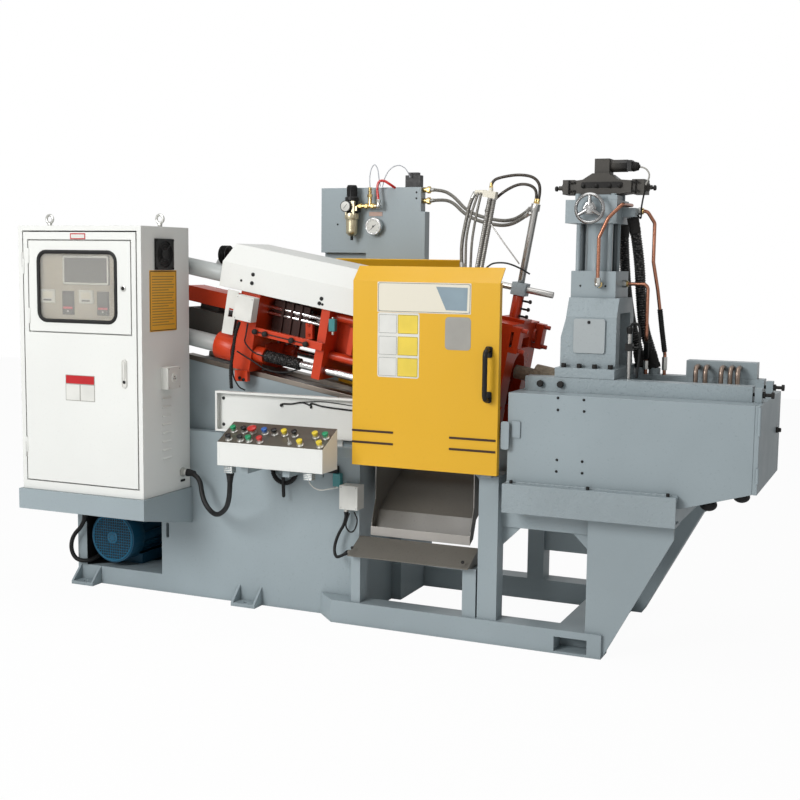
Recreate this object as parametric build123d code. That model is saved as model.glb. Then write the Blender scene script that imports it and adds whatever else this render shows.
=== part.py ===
from build123d import *
import math
import os

# Hot chamber die casting machine, in millimetres.
# X runs along the machine from the electrical cabinet to the furnace, Y runs from the operator's
# side to the back, Z is up. The origin is on the floor under the bed, on the centre plane of the
# clamp and furnace.

os.makedirs("parts", exist_ok=True)

# general
gap = 0.3                    # seat clearance between pieces that only touch
sheet = 3.0                  # sheet metal of guards and covers
weld_plate = 10.0            # gussets and brackets

# bed
bed_left = -670.0
bed_right = 714.0
bed_front = -175.0
bed_back = 481.0
bed_top = 693.0
bay_left = 672.0             # the chute bay starts here
bay_back = 143.0
motor_bay_x = (-623.0, -240.0)
motor_bay_z = (75.0, 340.0)
motor_bay_depth = 330.0
foot_width = 110.0
foot_reach = 62.0
foot_height = 75.0
foot_plate = 14.0
foot_hole_r = 9.0
foot_x = (-605.0, 185.0)
foot_hole_reach = 36.0

# clamp axis, falling to the right
clamp_tilt = 10.0
clamp_x = 1300.0             # reference point on the axis, inside the fixed platen
clamp_z = 952.0
bar_v = 128.0                # tie bars: half spacing across
bar_low = -129.0             # heights of the lower and upper tie bars over the axis
bar_high = 156.0
bar_r = 16.0
platen_half = 165.0
platen_top = 207.0
moving_top = 196.0
tail_top = 176.0
slide_w = -203.0             # top of the slide strips, measured from the axis
strip_thick = 20.0
strip_wide = 52.0
way_half = 115.0             # slideway half width
way_u = (-1440.0, 20.0)
rail_bottom = 622.0
fixed_u = (-150.0, -62.0)
strap_u = (-52.0, -28.0)     # lock plates in front of the upper tie bar nuts
strap_w = (106.0, 202.0)
nut_r = 28.0
tail_u = (-1195.0, -1108.0)
rear_plate_u = (-832.0, -795.0)
front_plate_u = (-600.0, -552.0)
bore_gap = 0.3
boss_r = 55.0
upper_boss_r = 40.0
boss_u = (-1279.0, -1195.0)
sleeve_r = 34.0
sleeve_u = (-1490.0, -1279.0)
small_boss_r = 31.0
small_boss_u = (-1108.0, -1063.0)
ram_r = 22.0
ram_w = 38.0
barrel_u = (-1510.0, -1195.0)
barrel_half = 31.0
barrel_wide = 60.0
clamp_valve_u = (-1480.0, -1300.0)
clamp_valve_w = (-116.0, -15.0)
limit_r = 8.0
limit_rods = ((-76.0, 36.0), (-76.0, 60.0))
plate_u = (-1243.0, -1193.0)   # slotted plate beside the tail plate
plate_w = (-70.0, 107.0)
upper_box_u = (-1175.0, -1095.0)
upper_box_w = (3.0, 100.0)
low_box_x = (614.0, 691.0)
low_box_z = (441.0, 534.0)
nozzle_w = 20.0
gear_u = -113.0               # stand of the spray gear
socket_u = (-139.0, -84.0)
socket_w = (304.0, 351.0)
arm_u = (-330.0, 18.0)
arm_w = 329.0
stand_top = 646.0
post_u = (-287.0, -270.0)
post_v = -24.0
post_top = 638.0

# electrical cabinet on its shelf
cab_x = (-682.0, -98.0)
cab_y = (-502.0, -175.0)
cab_z = (459.0, 1514.0)
cab_wall = 12.0
cab_rim = 20.0
cab_sill = 35.0
door_thick = 18.0
door_gap = 5.0
knuckle_long = 60.0
louvre_y = (-371.0, -311.0)
louvre_z = 599.0
louvre_pitch = 34.0
shelf_x = (-694.0, -88.0)
shelf_front = -516.0
shelf_drop = 81.0
shelf_root = 149.0

# control box, tray and cover
box_x = (217.0, 663.0)
box_front = -475.0
box_back = -352.0
box_z = (617.0, 707.0)
box_back_z = 770.0
arm_x = (300.0, 478.0)
arm_size = 30.0
adapter_x = (241.0, 580.0)
adapter = (35.0, 30.0, 30.0)
back_row = (253.0, 299.0, 336.0, 389.0, 430.0, 473.0, 516.0, 603.0, 645.0)
back_row_share = 0.53
front_row = (260.0, 311.0, 348.0, 395.0, 564.0, 645.0)
front_row_share = 0.13
mushroom_x = 336.0
toggle_x = 520.0
tray_x = (45.0, 745.0)
tray_y = (-209.0, -182.0)
tray_z = (705.0, 867.0)
cover_u = (-1295.0, -600.0)
cover_v = 175.0
cover_lean = 24.0
cover_half = 128.0
cover_w = (111.0, 210.0, 285.0)

# sliding front guard and its rail
guard_x = (706.0, 1277.0)
guard_front = -317.0
guard_z = (635.0, 1320.0)
guard_top = (-264.0, 1374.0)
guard_return = 25.0
window_x = (1076.0, 1168.0)
window_z = (1085.0, 1189.0)
handle_x = 1240.0
handle_low = 908.0
handle_long = 177.0
handle_reach = 42.0
rail_y = (-284.0, -262.0)
rail_z = (650.0, 690.0)
rail_x = (232.0, 1270.0)
roller_r = 15.0
rear_guard_x = (346.0, 917.0)
rear_guard_y = 317.0

# frame under the chute and furnace
tube = 88.0
frame_front = -263.0
frame_left = 594.0
frame_right = 1660.0
post_y = (-250.0, -182.0)
low_post_top = 270.0
post_c_top = 620.0
post_a_x = (674.0, 712.0)
post_b_x = (1129.0, 1182.0)
post_c_x = (1188.0, 1263.0)
post_d_x = (frame_right - 63, frame_right + 8)
ledge_x = (1300.0, 1916.0)
ledge_front = -325.0
ledge_z = (508.0, 612.0)
cross_z = (494.0, 568.0)
rear_tube_y = (393.0, 481.0)
rear_post_x = (1177.0, 1246.0)
mid_tie = 210.0              # bottom of the middle tie at the back
slant_foot = (frame_right, 0.0)
slant_top = (frame_right + 239, 452.0)
fork_x = (1487.0, 1608.0)
fork_z = (9.0, 62.0)

# chute
chute_x = (714.3, 1124.0)
chute_front = -155.0
chute_back = 160.0
chute_sheet = 3.0
chute_low = 338.0
chute_high = 560.0
drop_x = (676.0, 1165.0)
drop_front = -290.0

# panel box at the back and the air unit on it
rear_box_x = (191.0, 661.0)
rear_box_y = (430.0, 480.0)
rear_box_top = 1702.0
notch_z = (1180.0, 1424.0)
unit_place = (357.0, 392.0, 1622.0)

# furnace
fur_x = (1303.0, 2155.0)
fur_half = 281.0
fur_top = 934.0
fur_bottom = 568.0
fur_slope_x = 1919.0
fur_end_bottom = 637.0
fur_door = 16.0
nozzle_end = 1446.0          # the channel for the nozzle ends here
nozzle_half = 60.0
pot_x = (1690.0, 2070.0)
pot_half = 92.0
pot_wall = 16.0
pot_low = 700.0
beam_y = (112.0, 176.0)
beam_x = (1330.0, 2130.0)
beam_z = (934.0, 986.0)
heater_x = (1852.0, 2104.0)
heater_top = 1045.0
heater_loops = (1896.0, 1930.0, 1986.0, 2018.0, 2044.0)

# injection column and cylinder
col_x = (1445.0, 1648.0)
col_neck = 18.0              # the left side steps in by this much above the window
col_half = 130.0
col_z = (1021.0, 1270.0)
col_lean_z = 1203.0
col_top_half = 96.0
flange_x = (1438.0, 1656.0)
flange_half = 172.0
shot_x = 1540.0
shot_block_x = (1464.0, 1628.0)
shot_block_y = (-80.0, 112.0)
block_z = (1270.0, 1365.0)
shot_tube_r = 43.0
shot_tube_z = (1365.0, 1535.0)
tie_r = 8.5
tie_off = 58.0
head_x = (1436.0, 1624.0)
head_z = (1535.0, 1618.0)
head_y = (-80.0, 100.0)
valve_z = (1637.0, 1691.0)
valve_x = (1413.0, 1710.0)
valve_tower = 75.0
wheel_r = 56.0
wheel_centre = (1535.0, -118.0, 1586.0)


def block(x, y, z):
    """Box from three (low, high) pairs."""
    size = Box(x[1] - x[0], y[1] - y[0], z[1] - z[0])
    return Pos((x[0] + x[1]) / 2, (y[0] + y[1]) / 2, (z[0] + z[1]) / 2) * size


def rod(start, end, radius):
    """Round bar between two points."""
    a = Vector(*start)
    b = Vector(*end)
    place = Plane(origin=a, z_dir=(b - a).normalized())
    return extrude(place * Circle(radius), (b - a).length)


def pipe(start, end, outer, inner):
    """Hollow round bar between two points."""
    a = Vector(*start)
    b = Vector(*end)
    place = Plane(origin=a, z_dir=(b - a).normalized())
    return extrude(place * (Circle(outer) - Circle(inner)), (b - a).length)


def side_prism(points, y):
    """Outline in X and Z, extruded from y[0] to y[1]."""
    face = make_face(Polyline(*[(p[0], y[0], p[1]) for p in points], close=True))
    return extrude(face, y[1] - y[0], dir=(0, 1, 0))


def end_prism(points, x):
    """Outline in Y and Z, extruded from x[0] to x[1]."""
    face = make_face(Polyline(*[(x[0], p[0], p[1]) for p in points], close=True))
    return extrude(face, x[1] - x[0], dir=(1, 0, 0))


def plan_prism(points, z):
    """Outline in X and Y, extruded from z[0] to z[1]."""
    face = make_face(Polyline(*[(p[0], p[1], z[0]) for p in points], close=True))
    return extrude(face, z[1] - z[0], dir=(0, 0, 1))


tilt = math.radians(clamp_tilt)
clamp_place = Plane(
    origin=(clamp_x, 0, clamp_z),
    x_dir=(math.cos(tilt), 0, -math.sin(tilt)),
    z_dir=(math.sin(tilt), 0, math.cos(tilt)),
)


def clamp_point(u, v, w):
    """Point given along, across and above the clamp axis."""
    p = clamp_place.from_local_coords(Vector(u, v, w))
    return (p.X, p.Y, p.Z)


def clamp_block(u, v, w):
    """Box square to the clamp axis, from three (low, high) pairs."""
    return clamp_place.location * block(u, v, w)


def clamp_rod(u, v, w, radius):
    """Round bar along the clamp axis."""
    return rod(clamp_point(u[0], v, w), clamp_point(u[1], v, w), radius)


def at_height(w, x):
    """Height at x of the line that lies w above the clamp axis."""
    run = (x - clamp_x - w * math.sin(tilt)) / math.cos(tilt)
    return clamp_z - run * math.sin(tilt) + w * math.cos(tilt)


def save(name, *shapes):
    """Write one node; several shapes stay separate solids in it."""
    whole = shapes[0] if len(shapes) == 1 else Compound(children=list(shapes))
    export_step(whole, f"parts/{name}.step")


tie_points = [(v, w) for v in (-bar_v, bar_v) for w in (bar_low, bar_high)]


def drill_clamp(plate, u, radius, points):
    """Holes along the clamp axis through a plate."""
    for v, w in points:
        plate -= clamp_rod((u[0] - 1, u[1] + 1), v, w, radius)
    return plate


# Routes of the free cables and hoses, each from its gland to its other end.
cabinet_cable = [
    (-72.0, -235.0, 529.0),
    (-12.0, -238.0, 527.0),
    (16.0, -262.0, 424.0),
    (92.0, -290.0, 372.0),
    (168.0, -332.0, 414.0),
    (222.0, -396.0, 478.0),
    (256.0, -447.0, 536.0),
    (259.0, -450.0, 586.0),
]
motor_cable = [
    (-600.0, -212.0, 304.0),
    (-612.0, -212.0, 256.0),
    (-668.0, -212.0, 206.0),
    (-684.0, -210.0, 146.0),
    (-660.0, -206.0, 98.0),
    (-612.0, -188.0, 92.0),
    (-594.0, -140.0, 104.0),
    (-590.0, -88.0, 126.0),
    (-590.0, -36.0, 134.0),
]
box_cable = [
    (630.0, -205.0, 427.0),
    (630.0, -207.0, 388.0),
    (598.0, -213.0, 334.0),
    (586.0, -222.0, 282.0),
    (602.0, -238.0, 250.0),
    (632.0, -252.0, 262.0),
    (664.0, -256.0, 282.0),
]
hydraulic_hose_a = [
    (1652.0, 46.0, 1560.0),
    (1668.0, 50.0, 1480.0),
    (1680.0, 62.0, 1380.0),
    (1684.0, 84.0, 1270.0),
    (1692.0, 112.0, 1160.0),
    (1714.0, 136.0, 1076.0),
    (1730.0, 144.0, 1010.0),
]
hydraulic_hose_b = [
    (1595.0, 144.0, 1550.0),
    (1598.0, 150.0, 1470.0),
    (1604.0, 158.0, 1370.0),
    (1614.0, 165.0, 1270.0),
    (1634.0, 165.0, 1165.0),
    (1661.0, 156.0, 1080.0),
    (1681.0, 146.0, 1010.0),
]
braided_hose_a = [
    (690.0, 455.0, 1691.0),
    (752.0, 444.0, 1690.0),
    (830.0, 380.0, 1658.0),
    (914.0, 292.0, 1600.0),
    (1000.0, 216.0, 1572.0),
    (1082.0, 152.0, 1556.0),
    (1154.0, 98.0, 1548.0),
    (1222.0, 52.0, 1560.0),
    (1274.0, 16.0, 1592.0),
]
braided_hose_b = [
    (690.0, 455.0, 1645.0),
    (750.0, 440.0, 1650.0),
    (828.0, 370.0, 1636.0),
    (912.0, 282.0, 1584.0),
    (998.0, 202.0, 1554.0),
    (1080.0, 136.0, 1538.0),
    (1154.0, 80.0, 1530.0),
    (1222.0, 32.0, 1544.0),
    (1274.0, 2.0, 1574.0),
]
down_hose = [
    (1070.0, -24.0, 1651.0),
    (1050.0, -24.0, 1618.0),
    (1036.0, -25.0, 1550.0),
    (1022.0, -26.0, 1480.0),
    (1018.0, -25.0, 1420.0),
    (1022.0, -24.0, 1366.0),
]
loop_hose_a = [
    (1296.0, 5.0, 1610.0),
    (1304.0, 4.0, 1648.0),
    (1284.0, 4.0, 1676.0),
    (1236.0, 5.0, 1684.0),
    (1186.0, 6.0, 1664.0),
    (1142.0, 6.0, 1632.0),
    (1112.0, 4.0, 1600.0),
]
loop_hose_b = [
    (1308.0, -6.0, 1608.0),
    (1322.0, -6.0, 1660.0),
    (1302.0, -12.0, 1704.0),
    (1244.0, -18.0, 1716.0),
    (1176.0, -22.0, 1708.0),
    (1134.0, -24.0, 1694.0),
    (1132.0, -24.0, 1668.0),
]


def cord(name, points, radius):
    """Tube along straight runs joined by the largest arcs that the runs leave room for."""
    corners = [Vector(*p) for p in points]
    radii = []
    for before, here, after in zip(corners, corners[1:], corners[2:]):
        turn = math.radians((here - before).get_angle(after - here))
        shorter = min((here - before).length, (after - here).length)
        radii.append(0.45 * shorter / math.tan(turn / 2))
    path = FilletPolyline(*corners, radius=radii)
    tube_solid = sweep(Plane(origin=path @ 0, z_dir=path % 0) * Circle(radius), path)
    share = tube_solid.volume / (math.pi * radius * radius * path.length)
    print(name, "length", round(path.length), "radii", [round(r) for r in radii], "volume", round(share, 3))
    return tube_solid


def make_cords():
    save("cabinet_cable", cord("cabinet_cable", cabinet_cable, 10.0))
    save("motor_cable", cord("motor_cable", motor_cable, 9.0))
    save("box_cable", cord("box_cable", box_cable, 6.0))
    hoses = [cord("hydraulic_hose", route, 18.0) for route in (hydraulic_hose_a, hydraulic_hose_b)]
    save("hydraulic_hoses", *hoses)
    braided = [cord("braided_hose", route, 7.0) for route in (braided_hose_a, braided_hose_b, down_hose)]
    save("braided_hoses", *braided)
    loops = [cord("loop_hose", route, 5.5) for route in (loop_hose_a, loop_hose_b)]
    save("loop_hoses", *loops)


def make_bed():
    bed = block((bed_left, bed_right), (bed_front, bed_back), (0, bed_top))
    bed -= block((bay_left, bed_right + 1), (bed_front - 1, bay_back), (-1, bed_top + 1))
    bed -= block(motor_bay_x, (bed_front - 1, bed_front + motor_bay_depth), motor_bay_z)
    slot_x, slot_z, slot_r = -211.0, (240.0, 290.0), 7.0
    bed -= block((slot_x - slot_r, slot_x + slot_r), (bed_front - 1, bed_front + 20), slot_z)
    for z in slot_z:
        bed -= rod((slot_x, bed_front - 1, z), (slot_x, bed_front + 20, z), slot_r)
    save("bed", bed)


def foot(x, front):
    """Foot bracket: a drilled plate between two triangular gussets."""
    low = -foot_reach if front else 0
    face = bed_front if front else bed_back
    reach = face - foot_reach if front else face + foot_reach
    half = foot_width / 2
    plate = block((x - half, x + half), (face + low, face + low + foot_reach), (0, foot_plate))
    hole_y = face - foot_hole_reach if front else face + foot_hole_reach
    plate -= Pos(x, hole_y, foot_plate / 2) * Cylinder(foot_hole_r, foot_plate + 2)
    outline = [(face, foot_plate), (reach, foot_plate), (face, foot_height)]
    for side in (-half, half - weld_plate):
        plate += end_prism(outline, (x + side, x + side + weld_plate))
    return plate


def make_feet():
    save("bed_feet", *[foot(x, front) for x in foot_x for front in (True, False)])


def make_slideway():
    top_w = slide_w - strip_thick
    left = clamp_point(way_u[0], 0, top_w)
    right = clamp_point(way_u[1], 0, top_w)
    wedge = [
        (left[0], bed_top),
        (left[0], left[2]),
        (bay_left, at_height(top_w, bay_left)),
        (bay_left, bed_top),
    ]
    way = side_prism(wedge, (-way_half, way_half))
    rail = [
        (bay_left, rail_bottom),
        (bay_left, at_height(top_w, bay_left)),
        (right[0], right[2]),
        (right[0], rail_bottom),
    ]
    inner = way_half - strip_wide
    for y in ((-way_half, -inner), (inner, way_half)):
        way += side_prism(rail, y)
    save("slideway", way)
    strips = []
    for y in ((-way_half, -inner), (inner, way_half)):
        strips.append(clamp_block(way_u, y, (top_w, slide_w)))
    save("slide_strips", *strips)


def frame_side_tubes():
    """Bottom tube along the front, with its mitred left end and the fork pocket."""
    front = plan_prism(
        [
            (frame_left - tube, bed_front),
            (frame_left, frame_front),
            (frame_right, frame_front),
            (frame_right, bed_front),
        ],
        (0, tube),
    )
    front -= block(fork_x, (frame_front - 1, bed_front + 1), fork_z)
    return front


def gusset(corner, run, rise, y):
    """Triangular plate in an upper corner; run and rise carry their signs."""
    x, z = corner
    return side_prism([(x, z), (x + run, z), (x, z + rise)], y)


def make_frame_front():
    frame = frame_side_tubes()
    for x, top in (
        (post_a_x, low_post_top),
        (post_b_x, low_post_top),
        (post_c_x, post_c_top),
        (post_d_x, cross_z[0]),
    ):
        frame += block(x, post_y, (tube, top))
    beam = (430.0, cross_z[0])
    frame += block((post_c_x[1], post_d_x[0]), (post_y[1] - 20, post_y[1]), beam)
    plate_y = (post_y[1] - weld_plate, post_y[1])
    frame += gusset((post_c_x[1], beam[0]), 70, -70, plate_y)
    frame += gusset((post_d_x[0], beam[0]), -70, -70, plate_y)
    frame += gusset((post_c_x[0], post_c_top), -45, -45, plate_y)
    slant = [
        (post_d_x[1], tube),
        (slant_foot[0] + (slant_top[0] - slant_foot[0]) * tube / slant_top[1], tube),
        slant_top,
        (slant_top[0], cross_z[0]),
        (post_d_x[1], cross_z[0]),
    ]
    frame += side_prism(slant, (post_y[0], post_y[0] + weld_plate))
    toe = [(frame_right, 0), (slant[1][0], tube), (frame_right, tube)]
    frame += side_prism(toe, (post_y[0], post_y[0] + weld_plate))
    save("frame_front", frame)


def make_frame_rear():
    rear_post_top = cross_z[0]
    slope = (slant_top[0] - slant_foot[0]) / slant_top[1]
    slant_wide = 50.0
    foot_left = slant_foot[0] - slant_wide
    frame = block((bed_right, foot_left), rear_tube_y, (0, tube))
    frame += block(rear_post_x, (rear_tube_y[0], rear_tube_y[1]), (tube, rear_post_top))
    slant = [
        (foot_left, 0),
        slant_foot,
        (slant_foot[0] + slope * cross_z[0], cross_z[0]),
        (slant_foot[0] + slope * cross_z[0] - 110, cross_z[0]),
        (foot_left, tube),
    ]
    frame += side_prism(slant, rear_tube_y)
    frame += block((rear_post_x[0], slant_top[0]), rear_tube_y, (cross_z[0] - 60, cross_z[0]))
    mid_y = (rear_tube_y[0] + 20, rear_tube_y[1] - 8)
    frame += block((rear_post_x[1], foot_left + 80), mid_y, (mid_tie, mid_tie + 80))
    save("frame_rear", frame)


def make_frame_ties():
    """Cross members from front to back that carry the slideway end and the furnace."""
    y = (post_y[1], rear_tube_y[0])
    low = block((fork_x[0] - 10, fork_x[1] + 10), (bed_front, rear_tube_y[0]), (0, tube - 8))
    carry = block(post_c_x, y, (rail_bottom - 72, rail_bottom))
    furnace = []
    for x in ((ledge_x[0] + 20, ledge_x[0] + 100), post_d_x, (slant_top[0] - 79, slant_top[0])):
        furnace.append(block(x, (post_y[0], rear_tube_y[1]), cross_z))
    drop = block(post_c_x, rear_tube_y, (cross_z[0], rail_bottom))
    save("frame_ties", low, carry + drop, *furnace)


def make_ledge():
    """Channel that carries the furnace along its front."""
    web = 12.0
    ledge = block(ledge_x, (ledge_front, ledge_front + web), ledge_z)
    ledge += block(ledge_x, (ledge_front, -fur_half - gap), (ledge_z[1] - web, ledge_z[1]))
    ledge += block(ledge_x, (ledge_front, post_y[0]), (ledge_z[0], ledge_z[0] + web))
    save("furnace_ledge", ledge)


def make_shelf():
    x = shelf_x
    outline = [
        (cab_y[1], cab_z[0]),
        (shelf_front, cab_z[0]),
        (shelf_front, cab_z[0] - shelf_drop),
        (cab_y[1], cab_z[0] - shelf_root),
    ]
    shelf = end_prism(outline, x)
    start = motor_cable[0]
    shelf += rod(start, (start[0], start[1], cab_z[0] - shelf_drop), 13)
    save("cabinet_shelf", shelf)


def make_cabinet():
    body = block(cab_x, cab_y, cab_z)
    front = cab_y[0] + door_thick + 2
    inner_x = (cab_x[0] + cab_wall, cab_x[1] - cab_wall)
    inner_z = (cab_z[0] + cab_sill, cab_z[1] - cab_wall)
    body -= block(inner_x, (front, cab_y[1] - cab_wall), inner_z)
    recess_x = (cab_x[0] + cab_rim, cab_x[1] - cab_rim)
    body -= block(recess_x, (cab_y[0] - 1, front), (cab_z[0] + cab_sill, cab_z[1] - cab_rim))
    for i in range(8):
        z = louvre_z + louvre_pitch * i
        out = cab_x[1] + 4
        hood = [(cab_x[1] - 1, z), (out, z), (out, z + 2), (cab_x[1] - 1, z + 10)]
        body += side_prism(hood, louvre_y)
    save("cabinet", body)


def cabinet_door_x():
    return cab_x[0] + cab_rim + door_gap, cab_x[1] - cab_rim - door_gap


view_x = (-637.0, -143.0)
view_z = (1094.0, 1460.0)
pane_x = (-585.0, -216.0)
pane_z = (1142.0, 1412.0)
pane_round = 36.0


def knuckle(x, y, z):
    """Hinge barrel on a door's edge; it turns a seat clearance away from the frame."""
    return rod((x, y, z), (x, y, z + knuckle_long), door_gap - gap)


def make_cabinet_door():
    x = cabinet_door_x()
    y = (cab_y[0] - gap, cab_y[0] + door_thick)
    door = block(x, y, (cab_z[0] + cab_sill + door_gap, cab_z[1] - cab_rim - door_gap))
    door -= block(view_x, (y[0] - 1, y[0] + 14), view_z)
    door -= block((view_x[0] + 14, view_x[1] - 14), (y[0], y[1] + 1), (view_z[0] + 14, view_z[1] - 14))
    for z in (cab_z[0] + 150.0, cab_z[1] - 190.0):
        door += knuckle(x[0], y[0], z)
    save("cabinet_door", door)
    panel_y = (y[1], y[1] + 4)
    panel = block((view_x[0] + 2, view_x[1] - 2), panel_y, (view_z[0] + 2, view_z[1] - 2))
    screen = ((-476.0, -256.0), (1285.0, 1398.0))
    meters = [((-586.0, -516.0), (1212.0, 1264.0)), ((-400.0, -332.0), (1212.0, 1264.0))]
    controllers = [((-480.0, -425.0), (1167.0, 1260.0)), ((-314.0, -259.0), (1167.0, 1260.0))]
    for px, pz in [screen] + meters + controllers:
        panel += block(px, (panel_y[0] - 5, panel_y[0]), pz)
    save("instrument_panel", panel)
    frame_y = (y[0], y[0] + 12)
    wx = (view_x[0] + door_gap, view_x[1] - door_gap)
    wz = (view_z[0] + door_gap, view_z[1] - door_gap)
    window = block(wx, frame_y, wz)
    hole = Pos((pane_x[0] + pane_x[1]) / 2, 0, (pane_z[0] + pane_z[1]) / 2)
    cut = RectangleRounded(pane_x[1] - pane_x[0], pane_z[1] - pane_z[0], pane_round)
    window -= hole * Pos(0, y[0] - 5, 0) * Rot(-90, 0, 0) * extrude(cut, 40)
    for z in (wz[0] + 30.0, wz[1] - 30.0 - knuckle_long):
        window += knuckle(wx[0], y[0], z)
    save("window_door", window)
    pane_size = (pane_x[1] - pane_x[0] - 2 * gap, pane_z[1] - pane_z[0] - 2 * gap)
    glass_cut = RectangleRounded(*pane_size, pane_round - gap)
    glass = hole * Pos(0, y[0] + 3, 0) * Rot(-90, 0, 0) * extrude(glass_cut, 5)
    save("window_glass", glass)


def make_cabinet_fittings():
    side = cab_x[1]
    fan = block((side, side + 9), (-414.0, -294.0), (1347.0, 1467.0))
    fan -= rod((side + 3, -354.0, 1407.0), (side + 12, -354.0, 1407.0), 52)
    fan += rod((side, -354.0, 1407.0), (side + 9, -354.0, 1407.0), 20)
    socket = block((side, side + 34), (-379.0, -293.0), (880.0, 966.0))
    start = cabinet_cable[0]
    gland = rod((side, start[1], start[2]), start, 14)
    eyes = []
    for x in (-657.0, -123.0):
        stem = rod((x, -338.0, cab_z[1]), (x, -338.0, cab_z[1] + 14), 9)
        ring = Pos(x, -338.0, cab_z[1] + 30) * Rot(90, 0, 0) * Torus(16, 5)
        eyes.append(stem + ring)
    save("cabinet_fittings", fan, socket, gland, *eyes)


motor_axis = (-497.0, 203.0)


def make_motor():
    x, z = motor_axis
    r = 100.0
    front = bed_front + 12
    body = rod((x, front + 78, z), (x, front + 300, z), r - 8)
    for i in range(14):
        turn = math.radians(i * 360 / 14 + 6)
        fin = block((-2.5, 2.5), (front + 84, front + 288), (r - 14, r + 4))
        body += Pos(x, 0, z) * Rot(0, math.degrees(turn), 0) * fin
    cowl = rod((x, front, z), (x, front + 82, z), r + 8)
    cowl -= rod((x, front + 6, z), (x, front + 84, z), r + 5)
    cowl += rod((x, front + 4, z), (x, front + 80, z), 16)
    for ring in (34.0, 52.0, 70.0):
        slot = pipe((x, front - 1, z), (x, front + 8, z), ring + 6, ring)
        for turn in range(0, 180, 45):
            bar = Pos(x, front + 3, z) * Rot(0, turn, 0) * Box(2 * r, 12, 5)
            slot -= bar
        cowl -= slot
    body += cowl
    body += block((x - 50, x + 50), (front + 110, front + 230), (z + r - 14, z + r + 34))
    end = motor_cable[-1]
    body += block((end[0] - 14, x - 60), (end[1], end[1] + 70), (end[2] - 18, end[2] + 22))
    foot_top = z - r + 16
    body += block((x - 80, x + 80), (front + 100, front + 270), (motor_bay_z[0], foot_top))
    save("pump_motor", body)


def make_control_box():
    depth = [
        (box_front, box_z[0]),
        (box_front, box_z[1]),
        (box_back, box_back_z),
        (box_back, box_z[0]),
    ]
    save("control_box", end_prism(depth, box_x))
    arms = []
    top = box_z[0]
    for x in arm_x:
        arm = block((x, x + arm_size), (box_front + 35, bed_front), (top - arm_size, top))
        arm += block((x - 8, x + arm_size + 8), (bed_front - 8, bed_front), (top - 70, top + 8))
        arms.append(arm)
    for x in adapter_x:
        low = (x, -465.0, top - adapter[2])
        arms.append(block((low[0], low[0] + adapter[0]), (low[1], low[1] + adapter[1]), (low[2], top)))
    save("control_arms", *arms)


def panel_point(x, share):
    """Point on the sloping panel, share from the front edge to the back edge."""
    y = box_front + (box_back - box_front) * share
    z = box_z[1] + (box_back_z - box_z[1]) * share
    return x, y, z


def button(radius, dome):
    """Push button on its bezel, with the panel at the origin."""
    cap = [(10, 17), (radius, 18), (radius, 24), (0, 24 + dome)]
    profile = [(0, 0), (14, 0), (14, 4), (10, 5)] + cap
    face = make_face(Polyline(*[(r, 0, z) for r, z in profile], close=True))
    return revolve(face, Axis.Z)


def make_buttons():
    slope = math.degrees(math.atan2(box_back_z - box_z[1], box_back - box_front))
    plain = button(11.5, 1.5)
    mushroom = button(18.0, 6.0)
    buttons = []
    for share, row in ((back_row_share, back_row), (front_row_share, front_row)):
        for x in row:
            shape = mushroom if x == mushroom_x else plain
            buttons.append(Pos(*panel_point(x, share)) * Rot(slope, 0, 0) * shape)
    toggle = Cylinder(8, 10) + Pos(0, 0, 14) * Cylinder(2.5, 22)
    toggle_place = Pos(*panel_point(toggle_x, front_row_share)) * Rot(slope, 0, 0)
    buttons.append(toggle_place * Pos(0, 0, 5) * toggle)
    save("push_buttons", *buttons)


def make_tray():
    """Shallow pan that stands on its long edge, open to the operator."""
    wall = 3.0
    tray = block(tray_x, tray_y, tray_z)
    inner_x = (tray_x[0] + wall, tray_x[1] - wall)
    tray -= block(inner_x, (tray_y[0] - 1, tray_y[1] - wall), (tray_z[0] + wall, tray_z[1] - wall))
    lip = 9.0
    frame_y = (tray_y[0] - wall, tray_y[0])
    rim = block(tray_x, frame_y, tray_z)
    hole_x = (tray_x[0] + lip, tray_x[1] - lip)
    rim -= block(hole_x, (frame_y[0] - 1, frame_y[1] + 1), (tray_z[0] + lip, tray_z[1] - lip))
    tray += rim
    for x in ((120.0, 160.0), (560.0, 600.0)):
        tray += block(x, (tray_y[1], bed_front), (bed_top - 40, tray_z[0] + 40))
    save("tray", tray)


def make_top_cover():
    """Sheet cover over the toggle end, leaning back above a crease."""
    u = cover_u
    lower_w, crease_w, top_w = cover_w
    outline = [
        (-cover_v, lower_w),
        (-cover_v, crease_w),
        (-cover_half, top_w),
        (cover_half, top_w),
        (cover_v, crease_w),
        (cover_v, lower_w),
    ]
    edge = [Vector(u[0], v, w) for v, w in outline]
    outer = extrude(make_face(Polyline(*edge, close=True)), u[1] - u[0], dir=(1, 0, 0))
    shrink = (cover_v - sheet) / cover_v
    inner_line = [(v * shrink, min(w, top_w - sheet)) for v, w in outline]
    inner_line[0] = (inner_line[0][0], lower_w - 1)
    inner_line[-1] = (inner_line[-1][0], lower_w - 1)
    inner_edge = [Vector(u[0] - 1, v, w) for v, w in inner_line]
    inner = extrude(make_face(Polyline(*inner_edge, close=True)), u[1] - u[0] + 2, dir=(1, 0, 0))
    cover = clamp_place.location * (outer - inner)
    lean = [
        clamp_point(u[0], 0, crease_w),
        clamp_point(u[0] + cover_lean, 0, top_w + 5),
        clamp_point(u[0] - 5, 0, top_w + 5),
    ]
    cover -= side_prism([(p[0], p[2]) for p in lean], (-200, 200))
    save("top_cover", cover)


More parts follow.
